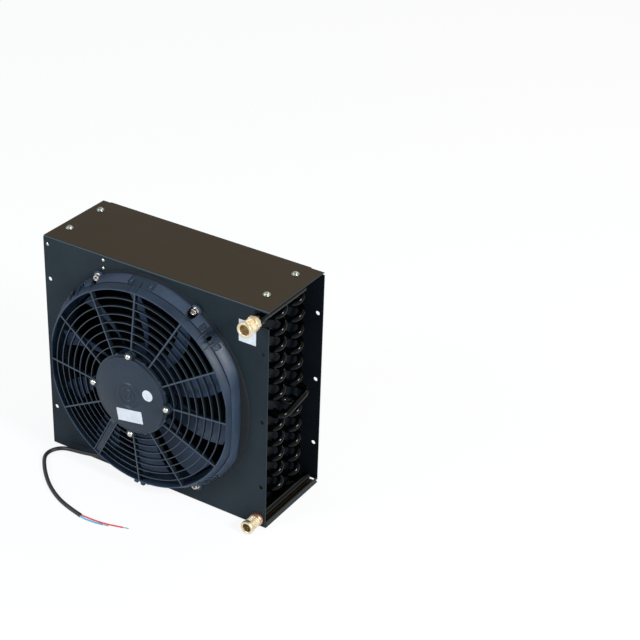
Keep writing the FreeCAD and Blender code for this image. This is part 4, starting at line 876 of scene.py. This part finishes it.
# Core wires: two leads in blue and red vinyl, thin and a little shinier than the sheath. They come
# out of its cut end and lie on the floor.
WIRE_RADIUS = 1.1
BLUE_ROUTE = [(-38.6, -192.4, 3.1), (-30.5, -193.2, 2.2), (-22.0, -191.8, 1.6), (-12.0, -190.6, 1.2),
              (-1.9, -188.2, 1.2)]
RED_ROUTE = [(-38.1, -189.6, 3.1), (-29.8, -188.6, 2.3), (-19.0, -187.6, 1.6), (-6.0, -185.8, 1.2),
             (9.3, -182.6, 1.2), (24.7, -177.8, 1.2)]
blue_vinyl = finish("extruded_blue_vinyl", "#3f8fb8", "#5aa6cc", 20, (0.32, 0.42), 0.8, 0.01)
red_vinyl = finish("extruded_red_vinyl", "#c8353c", "#dc4a50", 20, (0.32, 0.42), 0.8, 0.01)
blue_lead = lay_wire("blue_lead", BLUE_ROUTE, WIRE_RADIUS, blue_vinyl, "blue_wire")
red_lead = lay_wire("red_lead", RED_ROUTE, WIRE_RADIUS, red_vinyl, "red_wire")

# Stripped ends: six strands of tinned copper on each core wire, twisted by hand. Bright soft metal
# with a grey bloom where the tin has dulled.
STRANDS = 6
STRAND_RADIUS = 0.24
STRAND_SPREAD = 0.42
TIP_SPREAD = 0.4
TWIST_LENGTH = 5.0
TWIST_ANGLE = 50
STRIPPED_LENGTH = 8.6
STRAND_BEND = 0.3
tinned_copper = finish("tinned_copper_strand", "#9a9a96", "#c4c2ba", 3, (0.3, 0.45), 0.6, 0.01, 1.0)
strands = bmesh.new()
for route in (BLUE_ROUTE, RED_ROUTE):
    end = Vector(route[-1])
    along = (end - Vector(route[-2])).normalized()
    side = along.cross(Vector((0, 0, 1)))
    for count in range(STRANDS):
        angle = 360 / STRANDS * count
        first = Matrix.Rotation(math.radians(angle), 3, along) @ side
        later = Matrix.Rotation(math.radians(angle + TWIST_ANGLE), 3, along) @ side
        bent_tube(strands, [end - along, end + first * STRAND_SPREAD,
                            end + along * TWIST_LENGTH + later * STRAND_SPREAD,
                            end + along * STRIPPED_LENGTH + later * TIP_SPREAD],
                  STRAND_RADIUS, STRAND_BEND, 8)
wire_ends = piece("wire_ends", strands, "casing", tinned_copper, ["wire_tips"])

# Floor: a sheet of pale studio paper that keeps the unit's shadow. Most of what the camera sees of
# it is plain white, and so is a part of what metal mirrors.
FLOOR_HALF = 6
CAMERA_SHARE = 0.88
MIRROR_SHARE = 0.3
floor_form = bmesh.new()
bmesh.ops.create_grid(floor_form, x_segments=1, y_segments=1, size=FLOOR_HALF)
floor_mesh = bpy.data.meshes.new("floor")
floor_form.to_mesh(floor_mesh)
floor_form.free()
floor = bpy.data.objects.new("floor", floor_mesh)
bpy.context.scene.collection.objects.link(floor)
paper = bpy.data.materials.new("pale_studio_paper")
paper.use_nodes = True
tree = paper.node_tree
tree.nodes.clear()
rays = add(tree, "LightPath")
matt = add(tree, "BsdfDiffuse", {"Color": linear("#eaf0f6")})
glow = add(tree, "Emission", {"Color": linear("#ffffff"), "Strength": 1.0})
seen = add(tree, "Math", {0: rays.outputs["Is Camera Ray"], 1: CAMERA_SHARE}, operation="MULTIPLY")
white_share = add(tree, "Math", {0: rays.outputs["Is Glossy Ray"], 1: MIRROR_SHARE, 2: seen.outputs[0]},
                  operation="MULTIPLY_ADD")
surface = add(tree, "MixShader", {0: white_share.outputs[0], 1: matt.outputs[0], 2: glow.outputs[0]})
add(tree, "OutputMaterial", {"Surface": surface.outputs[0]})
floor_mesh.materials.append(paper)

# Surround: an even white studio. The camera sees it as plain white, it lights the unit more softly,
# and metal mirrors a tone between the two.
FILL_STRENGTH = 0.42
MIRRORED = 0.35
world = bpy.data.worlds.new("studio")
bpy.context.scene.world = world
world.use_nodes = True
tree = world.node_tree
tree.nodes.clear()
rays = add(tree, "LightPath")
shown = add(tree, "Math", {0: rays.outputs["Is Glossy Ray"], 1: MIRRORED,
                           2: rays.outputs["Is Camera Ray"]}, operation="MULTIPLY_ADD")
strength = add(tree, "Math", {0: shown.outputs[0], 1: 1 - FILL_STRENGTH, 2: FILL_STRENGTH},
               operation="MULTIPLY_ADD")
sky = add(tree, "Background", {"Color": linear("#ffffff"), "Strength": strength.outputs[0]})
add(tree, "OutputWorld", {"Surface": sky.outputs[0]})

# Lamps: a cool key from the front left, a warm one from above and behind, and a small one on the
# right that puts the glints on the tube ends. Watts, side, place and aim in metres, colour.
for name, power, size, spot, aim, colour in (
        ("key_lamp", 64, 1.2, (-1.6, -2.4, 2.0), (0, 0, 0.15), "#e2edff"),
        ("top_lamp", 20, 1.6, (0.4, 2.0, 2.2), (0, 0, 0.3), "#ffe9c8"),
        ("side_lamp", 75, 0.6, (2.4, -0.6, 1.6), (0.1, 0, 0.15), "#ffffff")):
    lamp = bpy.data.lights.new(name, "AREA")
    lamp.energy = power
    lamp.size = size
    lamp.color = linear(colour)[:3]
    held = bpy.data.objects.new(name, lamp)
    bpy.context.scene.collection.objects.link(held)
    aimed = (Vector(aim) - Vector(spot)).to_track_quat("-Z", "Y").to_matrix().to_4x4()
    held.matrix_world = Matrix.Translation(spot) @ aimed
bpy.context.scene.view_settings.view_transform = "Standard"
